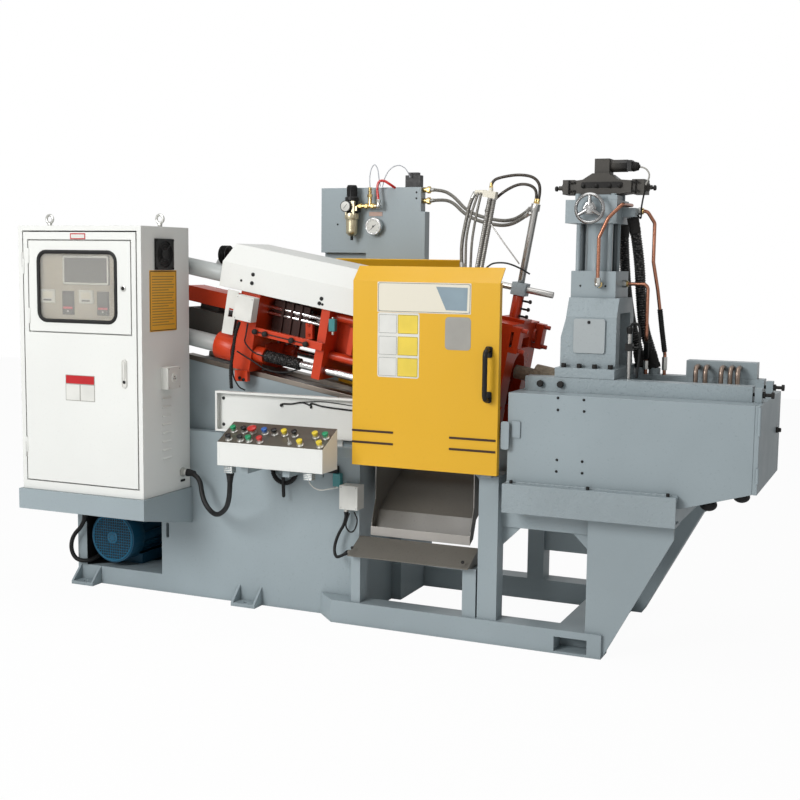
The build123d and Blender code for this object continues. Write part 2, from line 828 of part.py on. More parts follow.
def make_junction_boxes():
    """Box on the slotted plate beside the tail plate, and the box low on the bed."""
    back = -bar_v - boss_r - 3
    plate = clamp_block(plate_u, (back - 4, back), plate_w)
    plate -= clamp_block((plate_u[0] + 17, plate_u[0] + 37), (back - 5, back + 1), (0.0, 34.0))
    plate += clamp_block((plate_u[1] - 1, upper_box_u[1] - 15), (back - 4, back), (20.0, 90.0))
    plate += clamp_block((tail_u[0] + 10, tail_u[1] - 20), (back - 1, -platen_half), (35.0, 75.0))
    box = clamp_block(upper_box_u, (-235.0, back - 4), upper_box_w)
    low_box = block(low_box_x, (-235.0, bed_front), low_box_z)
    low_box += rod((box_cable[0][0], box_cable[0][1], low_box_z[0]), box_cable[0], 10)
    save("junction_boxes", plate + box, low_box)


def make_clamp_unit():
    half = platen_half
    tail = clamp_block(tail_u, (-half, half), (slide_w, tail_top))
    tail -= clamp_block((tail_u[0] - 1, tail_u[1] + 1), (-62, 62), (slide_w - 1, -95))
    tail = drill_clamp(tail, tail_u, bar_r, tie_points)
    tail = drill_clamp(tail, tail_u, ram_r + bore_gap, [(0, ram_w)])
    tail = drill_clamp(tail, (tail_u[1] - 25, tail_u[1]), limit_r, limit_rods)
    bosses = []
    for v, w in tie_points:
        outer = boss_r if w < 0 else upper_boss_r
        start = clamp_point(boss_u[0], v, w)
        bosses.append(pipe(start, clamp_point(boss_u[1] - gap, v, w), outer, bar_r))
    for v in ((-cover_v + sheet, -half), (half, cover_v - sheet)):
        tail += clamp_block(tail_u, v, (cover_w[0] + 8, cover_w[0] + 38))
    for v in (-bar_v, bar_v):
        start = clamp_point(small_boss_u[0] + gap, v, bar_low)
        bosses.append(pipe(start, clamp_point(small_boss_u[1], v, bar_low), small_boss_r, bar_r))
    save("tail_plate", tail, *bosses)
    bars = [clamp_rod((boss_u[0], strap_u[0] - gap), v, w, bar_r) for v, w in tie_points]
    bars += [clamp_rod((tail_u[1] - 25, rear_plate_u[0] - 14), v, w, limit_r) for v, w in limit_rods]
    save("tie_bars", *bars)
    sleeves = [clamp_rod(sleeve_u, v, w, sleeve_r) for v, w in tie_points]
    save("tie_bar_sleeves", *sleeves)
    wide = (-barrel_wide, barrel_wide)
    barrel = clamp_block(barrel_u, wide, (ram_w - barrel_half, ram_w + barrel_half))
    barrel -= clamp_rod((barrel_u[0] + 12, barrel_u[1] + 1), 0, ram_w, ram_r + 2)
    below = ram_w - barrel_half
    barrel += clamp_block((barrel_u[1] - 18, barrel_u[1]), wide, (below - 14, below))
    save("clamp_cylinder", barrel)
    u = clamp_valve_u
    w = clamp_valve_w
    valve = clamp_block(u, (-80, 80), w)
    valve += clamp_block((u[0] + 30, u[1] - 60), (-40, 40), (w[1], below - gap))
    valve += clamp_block((u[0] - 14, u[0]), (-60, 60), (w[0] + 22, w[1] - 18))
    return valve


def make_moving_platen():
    """Die plate and end plate on four posts, with the ejector plate between them."""
    half = platen_half
    rear = clamp_block(rear_plate_u, (-half, half), (-half, moving_top))
    front = clamp_block(front_plate_u, (-half, half), (-half, moving_top))
    web_u = (rear_plate_u[1], front_plate_u[0])
    for v in ((-62, -40), (40, 62)):
        rear += clamp_block(web_u, v, (-95, 110))
    for v in (-100, 100):
        for w in (-70, 84):
            rear += clamp_rod(web_u, v, w, 17)
    rear += clamp_block((-712, -690), (-half + 28, half - 28), (-45, 60))
    platen = rear + front
    span = (rear_plate_u[0], front_plate_u[1])
    platen = drill_clamp(platen, span, bar_r + bore_gap, tie_points)
    save("moving_platen", platen)
    save("clamp_ram", clamp_rod((-1430.0, rear_plate_u[0]), 0, ram_w, ram_r))
    bar = clamp_block((tail_u[1] + 6, rear_plate_u[1]), (-half - 22, -half), (-48, -18))
    save("stop_bar", bar)


def make_fixed_platen():
    """Casting with a slot and an arch in its furnace side, lock plates and a stem on top."""
    half = platen_half
    u = fixed_u
    platen = clamp_block(u, (-half, half), (slide_w, platen_top))
    platen -= clamp_block((u[0] - 1, u[1] + 1), (-64, 64), (slide_w - 1, -120))
    pocket_u = (u[1] - 42, u[1] + 1)
    platen -= clamp_block(pocket_u, (-70, 70), (112, 150))
    platen -= clamp_rod(pocket_u, 0, nozzle_w, 72)
    platen -= clamp_block(pocket_u, (-72, 72), (-121, nozzle_w))
    platen -= clamp_rod((u[0] - 1, u[1] + 1), 0, nozzle_w, 42)
    for v, w in tie_points:
        platen += clamp_rod((u[1], strap_u[0]), v, w, nut_r)
    for v in ((-half, -half + 46), (half - 46, half)):
        platen += clamp_block(strap_u, v, strap_w)
        for w in (strap_w[0] + 10, strap_w[1] - 10):
            platen += clamp_block((u[1], strap_u[0]), v, (w - 10, w + 10))
            middle = (v[0] + v[1]) / 2
            platen += clamp_rod((strap_u[1], strap_u[1] + 20), middle, w, 8)
    platen = drill_clamp(platen, (u[0], strap_u[0] - gap - 1), bar_r, tie_points)
    platen += clamp_block((u[0] + 1, u[1] + 5), (-45, 45), (platen_top, platen_top + 13))
    stem = (platen_top + 13, socket_w[0] - gap)
    platen += rod(clamp_point(gear_u, 0, stem[0]), clamp_point(gear_u, 0, stem[1]), 21)
    save("fixed_platen", platen)


def make_guard():
    x = guard_x
    y = guard_front
    face = block(x, (y, y + sheet), guard_z)
    lean = [
        (y, guard_z[1]),
        (guard_top[0], guard_top[1]),
        (guard_top[0] + sheet, guard_top[1] - sheet),
        (y + sheet, guard_z[1] - sheet),
    ]
    face += end_prism(lean, x)
    back = y + guard_return
    for low, high in ((x[0], x[0] + sheet), (x[1] - sheet, x[1])):
        face += block((low, high), (y, back), guard_z)
    face -= block(window_x, (y - 1, y + sheet + 1), window_z)
    for rx in (x[0] + 70, x[1] - 70):
        axle_z = rail_z[1] + gap + roller_r
        face += rod((rx, y + sheet, axle_z), (rx, rail_y[0] - 1, axle_z), 6)
        face += rod((rx, rail_y[0] - 1, axle_z), (rx, rail_y[1], axle_z), roller_r)
    save("front_guard", face)
    lip = 12.0
    pane = block(
        (window_x[0] - lip, window_x[1] + lip),
        (y + sheet, y + sheet + 4),
        (window_z[0] - lip, window_z[1] + lip),
    )
    save("guard_window", pane)
    high = handle_low + handle_long
    grip = [
        (handle_x, y, handle_low),
        (handle_x, y - handle_reach, handle_low),
        (handle_x, y - handle_reach, high),
        (handle_x, y, high),
    ]
    path = FilletPolyline(*grip, radius=22)
    handle = sweep(Plane(origin=path @ 0, z_dir=path % 0) * Circle(9), path)
    save("guard_handle", handle)


def make_guard_rails():
    rail = block(rail_x, rail_y, rail_z)
    for x in (rail_x[0] + 30, rail_x[0] + 228):
        rail += block((x, x + 36), (rail_y[1], bed_front), (rail_z[0], rail_z[0] + 26))
    rail += block((post_c_x[0] + 16, post_c_x[1] - 17), (rail_y[0], rail_y[1] + 60), (post_c_top, rail_z[0]))
    stop_z = rail_z[1] + 2 * roller_r
    for low, high in ((rail_x[0], rail_x[0] + 8), (rail_x[1] - 8, rail_x[1])):
        rail += block((low, high), rail_y, (rail_z[1], stop_z))
    save("guard_rails", rail)
    x = rear_guard_x
    y = rear_guard_y
    face = block(x, (y - sheet, y), (bed_top, guard_z[1] + 20))
    lean = [
        (y, guard_z[1] + 20),
        (-guard_top[0], guard_top[1] + 26),
        (-guard_top[0] - sheet, guard_top[1] + 26 - sheet),
        (y - sheet, guard_z[1] + 20 - sheet),
    ]
    face += end_prism(lean, x)
    for low, high in ((x[0], x[0] + sheet), (x[1] - sheet, x[1])):
        face += block((low, high), (y - guard_return, y), (bed_top, guard_z[1] + 20))
    save("rear_guard", face)


def make_chute():
    t = chute_sheet
    x = chute_x
    knee = (chute_front + 30, chute_low + 14)
    bend = (chute_front + 60, chute_low + 82)
    floor_line = [
        (chute_front, chute_low),
        knee,
        bend,
        (chute_back, chute_high),
        (chute_back, chute_high + t),
        (bend[0], bend[1] + t + 2),
        (knee[0], knee[1] + t + 4),
        (chute_front, chute_low + t),
    ]
    chute = end_prism(floor_line, x)
    side_top = chute_high + 44
    side = [
        (chute_front, chute_low),
        knee,
        bend,
        (chute_back, chute_high),
        (chute_back, side_top),
        (chute_front + 34, side_top),
        (chute_front + 34, chute_low + 132),
        (chute_front, chute_low + 47),
    ]
    for low, high in ((x[0], x[0] + t), (x[1] - t, x[1])):
        chute += end_prism(side, (low, high))
    chute += block(x, (chute_front - 6, chute_front), (chute_low - 3, chute_low + 32))
    save("chute", chute)
    top_z = low_post_top + 62
    lip = (drop_front, low_post_top + 8)
    drop_line = [
        (bed_front, top_z),
        lip,
        (lip[0], lip[1] - 3),
        (lip[0] + 2, lip[1] - 3),
        (bed_front, top_z - 3.5),
    ]
    drop = end_prism(drop_line, drop_x)
    cheek = [(bed_front, top_z), lip, (post_y[0], low_post_top), (post_y[1], low_post_top)]
    for low, high in ((drop_x[0], drop_x[0] + t), (drop_x[1] - t, drop_x[1])):
        drop += end_prism(cheek, (low, high))
    end = box_cable[-1]
    drop += rod(end, (drop_x[0] + 1, end[1], end[2]), 9)
    save("drop_plate", drop)


def make_rear_box():
    box = block(rear_box_x, rear_box_y, (bed_top, rear_box_top))
    step = (rear_box_x[1] - 1, rear_box_x[1] + 20)
    box += block(step, rear_box_y, (bed_top, rear_box_top - 102))
    notch_y = (rear_box_y[0] - 1, rear_box_y[1] - 12)
    box -= block((rear_box_x[0] - 1, rear_box_x[0] + 215), notch_y, notch_z)
    save("rear_box", box)


def make_air_unit():
    """Filter and regulator, a gauge, the valve on the box and the fittings of the hoses."""
    front = rear_box_y[0]
    x, y, z = unit_place
    profile = [
        (0, -144),
        (6, -144),
        (6, -128),
        (14, -126),
        (24, -114),
        (25, -56),
        (31, -54),
        (31, -32),
        (27, -22),
        (27, 26),
        (23, 36),
        (21, 40),
        (21, 85),
        (18, 89),
        (0, 89),
    ]
    face = make_face(Polyline(*[(r, 0, z + rise) for r, rise in profile], close=True))
    unit = Pos(x, y, 0) * revolve(face, Axis.Z)
    unit += block((x - 16, x + 16), (y, front), (z - 16, z + 18))
    unit += rod((x - 50, y, z), (x + 128, y, z), 8)
    unit += rod((x - 13, y - 22, z - 2), (x - 13, y - 36, z - 2), 19)
    unit += rod((x + 85, y, z), (x + 85, y, z + 50), 8)
    unit += rod((x + 124, y, z), (x + 124, y, z + 28), 8)
    gauge = rod((x + 97, front - 28, z - 85), (x + 97, front, z - 85), 36)
    top = rear_box_top
    valves = block((584.0, 652.0), (front + 10, front + 44), (top, top + 50))
    valves += block((596.0, 640.0), (front + 14, front + 40), (top + 50, top + 62))
    fittings = []
    for hose in (braided_hose_a, braided_hose_b):
        start = hose[0]
        fittings.append(rod((rear_box_x[1], start[1], start[2]), start, 11))
    save("air_unit", unit, gauge, valves, *fittings)


def upright(u, v, w, radius):
    """Round bar square to the clamp axis."""
    return rod(clamp_point(u, v, w[0]), clamp_point(u, v, w[1]), radius)


def make_spray_gear():
    half = 27.0
    head = clamp_block(socket_u, (-half, half), socket_w)
    arm = clamp_rod(arm_u, 0, arm_w, 12)
    stand_w = (socket_w[1] - 8, stand_top)
    stand = upright(gear_u, 0, stand_w, 13)
    save("spray_socket", head - arm - stand)
    stand += upright(gear_u, 0, (stand_top - 26, stand_top), 17)
    for hose in (braided_hose_a, braided_hose_b):
        hx, hy, hz = hose[-1]
        stand += rod((hx, hy, hz), (hx + 22, hy / 2, hz), 8)
    low_w = (arm_w - 16, arm_w + 16)
    post = clamp_block((post_u[0] - 16, post_u[1] + 16), (post_v - 11, -12 - gap), low_w)
    for u in post_u:
        post += upright(u, post_v, (low_w[0] + 4, post_top + 4), 8)
    cap_u = (post_u[0] - 26, post_u[1] + 6)
    post += clamp_block(cap_u, (post_v - 14, post_v + 16), (post_top, post_top + 26))
    side = down_hose[0]
    post += rod((side[0] + 42, side[1], side[2]), side, 9)
    top = loop_hose_b[-1]
    post += rod((top[0], top[1], top[2] - 16), top, 8)
    low = loop_hose_a[-1]
    post += rod((low[0] + 3, post_v + 4, low[2] - 18), low, 8)
    tip = down_hose[-1]
    tip_block = clamp_block((arm_u[0], arm_u[0] + 24), (post_v - 11, -12 - gap), (arm_w - 14, arm_w + 14))
    tip_block += rod((tip[0], tip[1], tip[2] - 30), tip, 9)
    save("spray_pipe", arm, stand, post, tip_block)


def make_furnace():
    outline = [
        (fur_x[0], fur_bottom),
        (fur_x[0], fur_top),
        (fur_x[1], fur_top),
        (fur_x[1], fur_end_bottom),
        (fur_slope_x, fur_bottom),
    ]
    body = side_prism(outline, (-fur_half, fur_half))
    body -= block(pot_x, (-pot_half, pot_half), (pot_low, fur_top + 1))
    body -= block((fur_x[0] - 1, nozzle_end), (-nozzle_half, nozzle_half), (fur_top - 54, fur_top + 1))
    save("furnace_box", body)
    door_x = (fur_x[1] + gap, fur_x[1] + gap + fur_door)
    door = block(door_x, (-fur_half, fur_half), (fur_end_bottom, fur_top))
    save("furnace_door", door)
    pot = block(pot_x, (-pot_half, pot_half), (pot_low, fur_top + 4))
    inner_x = (pot_x[0] + pot_wall, pot_x[1] - pot_wall)
    pot -= block(inner_x, (-pot_half + pot_wall, pot_half - pot_wall), (pot_low + 20, fur_top + 5))
    save("crucible", pot)


def make_a_frame():
    frame = block(beam_x, (-beam_y[1], -beam_y[0]), beam_z)
    frame += block(beam_x, beam_y, beam_z)
    for y in ((-beam_y[0], -nozzle_half), (nozzle_half, beam_y[0])):
        frame += block((beam_x[0], beam_x[0] + 90), y, (beam_z[0], beam_z[1] - 8))
    frame += block((nozzle_end + 10, nozzle_end + 214), (-beam_y[0], beam_y[0]), (beam_z[1] - 22, beam_z[1]))
    for hose in (hydraulic_hose_a, hydraulic_hose_b):
        ex, ey, ez = hose[-1]
        frame += rod((ex, ey, beam_z[1] - 1), (ex, ey, ez), 22)
    save("a_frame", frame)
    box = block(heater_x, (beam_y[0] + 3, beam_y[1] - 4), (beam_z[1], heater_top))
    heaters = []
    for x in heater_loops:
        level = heater_top - 20
        bend = [(x, beam_y[0] + 3, level), (x, pot_half - 30, level), (x, pot_half - 30, pot_low + 100)]
        path = FilletPolyline(*bend, radius=24)
        heaters.append(sweep(Plane(origin=path @ 0, z_dir=path % 0) * Circle(8.5), path))
    save("heater_box", box, *heaters)
    tip = clamp_rod((-70, 10), 0, nozzle_w, 26)
    wrap = clamp_rod((10, 160), 0, nozzle_w, 46)
    nozzle = tip + wrap
    beyond = nozzle_end + 250
    over = clamp_z + 150
    nozzle -= block((nozzle_end, beyond), (-100, 100), (over - 300, over))
    nozzle -= block((flange_x[0] - 20, beyond), (-100, 100), (beam_z[1] - 22 - gap, over))
    save("nozzle", nozzle)


def make_column():
    flange = block(flange_x, (-flange_half, flange_half), (beam_z[1], col_z[0]))
    profile = [
        (-col_half, col_z[0]),
        (-col_half, col_lean_z),
        (-col_top_half, col_z[1]),
        (col_top_half, col_z[1]),
        (col_half, col_lean_z),
        (col_half, col_z[0]),
    ]
    column = end_prism(profile, col_x)
    neck = [
        (col_x[0] - 1, col_lean_z - 75),
        (col_x[0], col_lean_z - 75),
        (col_x[0] + col_neck, col_lean_z - 5),
        (col_x[0] + col_neck, col_z[1] + 1),
        (col_x[0] - 1, col_z[1] + 1),
    ]
    column -= side_prism(neck, (-col_half - 1, col_half + 1))
    column -= block((col_x[0] - 1, col_x[1] + 1), (-78, 78), (col_z[0], col_lean_z + 12))
    cover_place = Pos((col_x[0] + col_x[1]) / 2 + 5, 0, col_z[0] + 114)
    cover = cover_place * Rot(90, 0, 0) * RectangleRounded(116, 122, 8)
    column += Pos(0, -col_half, 0) * extrude(cover, 7)
    column += flange
    column -= block((shot_x - 36, shot_x + 36), (-36, 36), (beam_z[1] - 1, col_z[0] + 1))
    column -= rod((shot_x, 0, col_lean_z), (shot_x, 0, col_z[1] + 1), 20)
    save("injection_column", column)
    plunger = rod((shot_x, 0, col_z[0] - 6), (shot_x, 0, block_z[0]), 17)
    plunger += rod((shot_x, 0, col_z[0] + 59), (shot_x, 0, col_z[0] + 119), 30)
    save("plunger_rod", plunger)


def make_shot_cylinder(clamp_valve):
    body = block(shot_block_x, shot_block_y, block_z)
    body += rod((shot_x, 0, shot_tube_z[0]), (shot_x, 0, shot_tube_z[1]), shot_tube_r)
    for dx in (-tie_off, tie_off):
        for dy in (-tie_off, tie_off):
            body += rod((shot_x + dx, dy, shot_tube_z[0]), (shot_x + dx, dy, shot_tube_z[1]), tie_r)
    body += block(head_x, head_y, head_z)
    body += block((shot_x - 56, shot_x + 72), (-66, 60), (head_z[1], valve_z[0] - gap))
    for hose in (hydraulic_hose_a, hydraulic_hose_b):
        sx, sy, sz = hose[0]
        body += block((sx - 30, sx + 20), (sy - 46, sy + 20), (sz, sz + 32))
    save("shot_cylinder", body)
    mid = (valve_z[0] + valve_z[1]) / 2
    low_half = 52.0
    outline = [
        (valve_x[0] + 44, valve_z[0] + 8),
        (shot_x - 66, valve_z[0]),
        (shot_x + 66, valve_z[0]),
        (valve_x[1] - 44, valve_z[0] + 8),
        (valve_x[1] - 44, valve_z[1] - 4),
        (shot_x + 72, valve_z[1]),
        (shot_x + 42, valve_z[1] + 22),
        (shot_x - 16, valve_z[1] + 22),
        (shot_x - 52, valve_z[1]),
        (valve_x[0] + 44, valve_z[1] - 4),
    ]
    valve = side_prism(outline, (-low_half, low_half))
    for low, high in ((valve_x[0], valve_x[0] + 44), (valve_x[1] - 44, valve_x[1])):
        valve += block((low, high), (-44, 44), (valve_z[0] + 2, valve_z[1]))
    valve += rod((valve_x[0] - 26, 0, mid), (valve_x[1] + 20, 0, mid), 8)
    valve += rod((valve_x[0] - 12, 0, mid), (valve_x[1] + 10, 0, mid), 14)
    valve += block((shot_x - 14, shot_x + 40), (-32, 32), (valve_z[1] + 20, valve_z[1] + valve_tower))
    coil = valve_z[1] + 50
    valve += rod((shot_x + 40, 0, coil), (shot_x + 100, 0, coil), 22)
    valve += block((shot_x + 100, shot_x + 117), (-20, 20), (coil - 19, coil + 19))
    save("hydraulic_valves", valve, clamp_valve)
    cx, cy, cz = wheel_centre
    hub = head_y[0]
    wheel = Pos(cx, cy, cz) * Rot(90, 0, 0) * Torus(wheel_r - 6, 6)
    wheel += rod((cx, cy - 8, cz), (cx, hub - gap, cz), 9)
    wheel += rod((cx, cy - 9, cz), (cx, cy + 9, cz), 17)
    for i in range(3):
        turn = math.radians(90 + 120 * i)
        end = (cx + (wheel_r - 8) * math.cos(turn), cy, cz + (wheel_r - 8) * math.sin(turn))
        wheel += rod((cx, cy, cz), end, 5)
    save("handwheel", wheel)


def bent_pipe(points, radius, bend):
    path = FilletPolyline(*points, radius=bend)
    return sweep(Plane(origin=path @ 0, z_dir=path % 0) * Circle(radius), path)


def make_copper_pipes():
    """Pipe from the head to the block, and two pipes that come down behind the column."""
    front = shot_block_y[0] - 35
    first = bent_pipe(
        [
            (head_x[1], 66.0, 1603.0),
            (head_x[1] + 22, 66.0, 1603.0),
            (head_x[1] + 22, -92.0, 1601.0),
            (1602.0, front, 1552.0),
            (1571.0, front, 1484.0),
            (1571.0, front, 1318.0),
            (1571.0, shot_block_y[0], 1318.0),
        ],
        6.5,
        15,
    )
    second = bent_pipe(
        [
            (shot_block_x[1], 30.0, 1320.0),
            (1720.0, 30.0, 1320.0),
            (1720.0, 30.0, 1130.0),
            (1702.0, 122.0, 1040.0),
            (1702.0, 122.0, beam_z[1]),
        ],
        6.5,
        20,
    )
    third = bent_pipe(
        [
            (1672.0, 50.0, 1582.0),
            (1704.0, 50.0, 1582.0),
            (1727.0, 74.0, 1540.0),
            (1727.0, 74.0, 1400.0),
            (1744.0, 84.0, 1300.0),
            (1770.0, 126.0, 1060.0),
            (1770.0, 126.0, beam_z[1]),
        ],
        6.5,
        18,
    )
    save("copper_pipes", first, second, third)


make_bed()
make_feet()
make_slideway()
make_frame_front()
make_frame_rear()
make_frame_ties()
make_ledge()
make_shelf()
make_cabinet()
make_cabinet_door()
make_cabinet_fittings()
make_motor()
make_control_box()
make_buttons()
make_tray()
make_top_cover()
make_junction_boxes()
clamp_valve_solid = make_clamp_unit()
make_moving_platen()
make_fixed_platen()
make_guard()
make_guard_rails()
make_chute()
make_rear_box()
make_air_unit()
make_spray_gear()
make_furnace()
make_a_frame()
make_column()
make_shot_cylinder(clamp_valve_solid)
make_copper_pipes()
make_cords()
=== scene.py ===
import bmesh
import bpy
import math
from mathutils import Matrix, Vector


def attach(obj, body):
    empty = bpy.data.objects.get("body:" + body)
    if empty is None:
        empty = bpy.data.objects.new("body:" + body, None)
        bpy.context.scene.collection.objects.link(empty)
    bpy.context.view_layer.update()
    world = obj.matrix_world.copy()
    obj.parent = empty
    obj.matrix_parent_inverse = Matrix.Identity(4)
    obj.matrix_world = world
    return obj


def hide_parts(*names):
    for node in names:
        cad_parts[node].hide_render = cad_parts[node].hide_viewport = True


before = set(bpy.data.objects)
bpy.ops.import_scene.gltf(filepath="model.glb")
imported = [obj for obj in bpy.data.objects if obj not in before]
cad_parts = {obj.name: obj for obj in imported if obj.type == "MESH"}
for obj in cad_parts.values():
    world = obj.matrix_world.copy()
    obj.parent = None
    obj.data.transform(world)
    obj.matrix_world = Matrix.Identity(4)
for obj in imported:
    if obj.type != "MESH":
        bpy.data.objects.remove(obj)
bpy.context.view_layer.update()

# Camera, solved from the box edges in the photograph.
CAMERA_AT = Vector((2.6971, -4.4694, 1.3995))
CAMERA_RIGHT = Vector((0.917063, 0.398562, 0.012010))
CAMERA_UP = Vector((-0.055766, 0.098373, 0.993586))
CAMERA_FORWARD = Vector((-0.394824, 0.911850, -0.112441))
LENS = 56.03
SENSOR = 36.0

# The clamp's axis falls to the right.
CLAMP_ORIGIN = Vector((1.3, 0.0, 0.952))
CLAMP_TILT = math.radians(10.0)
CLAMP = Matrix.Translation(CLAMP_ORIGIN) @ Matrix.Rotation(CLAMP_TILT, 4, "Y")

# Details are drawn in millimetres, in the row frame or along the clamp.
MM = Matrix.Scale(0.001, 4)
CLAMP_MM = CLAMP @ MM

EAST, BACK, UP = Vector((1, 0, 0)), Vector((0, 1, 0)), Vector((0, 0, 1))
WEST, FRONT, DOWN = -EAST, -BACK, -UP


# Materials

def put(tree, value, socket):
    """Links an output to a socket, or sets the socket's own value."""
    if hasattr(value, "is_output"):
        tree.links.new(value, socket)
    elif socket.type == "RGBA":
        socket.default_value = (*value, 1.0)
    else:
        socket.default_value = value


def math_node(tree, operation, *values):
    node = tree.nodes.new("ShaderNodeMath")
    node.operation = operation
    for value, socket in zip(values, node.inputs):
        put(tree, value, socket)
    return node.outputs[0]


class Nodes:
    """Short way to wire the nodes of one material."""

    def __init__(self, name):
        self.material = bpy.data.materials.new(name)
        self.material.use_nodes = True
        self.tree = self.material.node_tree
        self.tree.nodes.clear()
        self.shader = self.add("ShaderNodeBsdfPrincipled")
        self.output = self.add("ShaderNodeOutputMaterial")
        put(self.tree, self.shader.outputs[0], self.output.inputs[0])
        self.place = self.add("ShaderNodeTexCoord")

    def add(self, kind, **inputs):
        """Adds a node; an input's name has _ for its spaces."""
        node = self.tree.nodes.new(kind)
        self.fill(node, inputs)
        return node

    def fill(self, node, inputs):
        for key, value in inputs.items():
            put(self.tree, value, node.inputs[key.replace("_", " ")])

    def finish(self, **inputs):
        """Sets the shader's inputs and returns the material."""
        self.fill(self.shader, inputs)
        return self.material

    def point(self, stretch=(1.0, 1.0, 1.0)):
        """Place in metres, stretched for grain that runs one way."""
        return self.add("ShaderNodeMapping", Vector=self.place.outputs["Object"], Scale=stretch).outputs[0]

    def noise(self, scale, detail=3.0, rough=0.5, stretch=(1.0, 1.0, 1.0)):
        point = self.point(stretch)
        node = self.add("ShaderNodeTexNoise", Vector=point, Scale=scale, Detail=detail, Roughness=rough)
        return node.outputs["Fac"]

    def span(self, value, low, high, from_low=0.3, from_high=0.7):
        """Maps a span of values onto another."""
        node = self.add("ShaderNodeMapRange", Value=value, To_Min=low, To_Max=high,
                        From_Min=from_low, From_Max=from_high)
        return node.outputs["Result"]

    def blend(self, factor, first, second):
        node = self.add("ShaderNodeMix")
        node.data_type = "RGBA"
        for value, socket in zip((factor, first, second), (0, 6, 7)):
            put(self.tree, value, node.inputs[socket])
        return node.outputs[2]

    def bump(self, height, strength, distance=0.001, before=None):
        node = self.add("ShaderNodeBump", Height=height, Strength=strength, Distance=distance)
        if before is not None:
            put(self.tree, before, node.inputs["Normal"])
        return node.outputs[0]

    def occlusion(self, reach):
        """Ambient occlusion, used as painted shade: dark in corners and seams, white elsewhere."""
        node = self.add("ShaderNodeAmbientOcclusion", Distance=reach)
        node.samples = 4
        return node.outputs["AO"]


def shade(color, factor):
    return tuple(min(1.0, c * factor) for c in color)


def paint(name, color, rough=0.38, vary=0.06, peel=0.12, painted_corner_shade=0.35, coat=0.08, lumps=0.0):
    """Sprayed enamel: orange peel, slow colour drift, uneven gloss and painted shade in the corners."""
    n = Nodes(name)
    drift = n.span(n.noise(2.3, 4.0), 0.0, 1.0)
    mottled = n.blend(drift, shade(color, 1.0 - vary), shade(color, 1.0 + vary * 0.5))
    speck = n.span(n.noise(140.0, 2.0), 0.0, 1.0, 0.62, 0.75)
    specked = n.blend(speck, mottled, shade(color, 1.0 - vary * 1.6))
    # Painted shade: ambient occlusion darkens the colour in corners and seams.
    corner = n.span(n.occlusion(0.03), painted_corner_shade, 0.0, 0.25, 0.85)
    peeled = n.bump(n.noise(420.0, 2.0), peel, 0.0006)
    if lumps:
        peeled = n.bump(n.noise(85.0, 4.0, 0.65), lumps, 0.004, peeled)
    return n.finish(
        Base_Color=n.blend(corner, specked, shade(color, 0.35)),
        Roughness=n.span(n.noise(7.0, 3.0), rough - 0.07, rough + 0.09),
        Normal=n.bump(n.noise(9.0, 2.0), 0.08, 0.004, peeled),
        Coat_Weight=coat, Coat_Roughness=0.22, Specular_IOR_Level=0.28)


def metal(name, color, rough=0.25, stretch=(1.0, 1.0, 1.0), grain=0.15, stain=0.2):
    """Bare metal with a machined or drawn grain, faint stains and painted shade in its corners."""
    n = Nodes(name)
    lines = n.noise(90.0, 4.0, 0.6, stretch)
    clouds = n.span(n.noise(6.0, 4.0), 0.0, stain, 0.4, 0.7)
    base = n.blend(clouds, color, shade(color, 0.45))
    # Painted shade: ambient occlusion darkens the colour in corners and seams.
    corner = n.span(n.occlusion(0.015), 0.55, 0.0, 0.2, 0.8)
    return n.finish(
        Base_Color=n.blend(corner, base, shade(color, 0.22)), Metallic=1.0,
        Roughness=n.span(lines, rough - 0.06, rough + 0.12), Normal=n.bump(lines, grain, 0.0006))


def plastic(name, color, rough=0.45, grain=0.1, coat=0.0):
    n = Nodes(name)
    drift = n.span(n.noise(12.0, 3.0), 0.0, 1.0)
    return n.finish(
        Base_Color=n.blend(drift, shade(color, 0.92), shade(color, 1.05)),
        Roughness=n.span(n.noise(60.0, 2.0), rough - 0.06, rough + 0.08),
        Normal=n.bump(n.noise(900.0, 2.0), grain, 0.0004), Coat_Weight=coat, Specular_IOR_Level=0.3)


def clear_pane(name, color):
    """Clear sheet with faint smears in its gloss."""
    n = Nodes(name)
    return n.finish(
        Base_Color=n.blend(n.span(n.noise(4.0), 0.0, 0.25), color, shade(color, 0.9)),
        Roughness=n.span(n.noise(9.0, 4.0), 0.02, 0.09), Transmission_Weight=0.85, IOR=1.45)


def cloth(name, color):
    """Wound heat tape: soft folds across a coarse weave."""
    n = Nodes(name)
    folds = n.noise(38.0, 4.0, 0.6)
    weave = n.bump(n.noise(700.0, 2.0), 0.5, 0.0008)
    return n.finish(
        # Painted shade: the colour is darker where the folds' bump is low, in the creases.
        Base_Color=n.blend(n.span(folds, 0.0, 1.0), shade(color, 0.55), shade(color, 1.15)),
        Roughness=0.9, Sheen_Weight=0.2, Normal=n.bump(folds, 0.8, 0.012, weave))


def braid(name, color, dark, scale):
    """Woven or spiral cover: fine crossed ridges along the hose."""
    n = Nodes(name)
    weave = n.add("ShaderNodeTexVoronoi", Vector=n.point(), Scale=scale).outputs["Distance"]
    return n.finish(
        Base_Color=n.blend(n.span(weave, 0.0, 1.0, 0.1, 0.6), color, dark), Metallic=0.5,
        Roughness=n.span(n.noise(50.0), 0.34, 0.5), Normal=n.bump(weave, 0.5, 0.001))


GREY = (0.335, 0.395, 0.42)
NEAR_BLACK = (0.012, 0.012, 0.013)

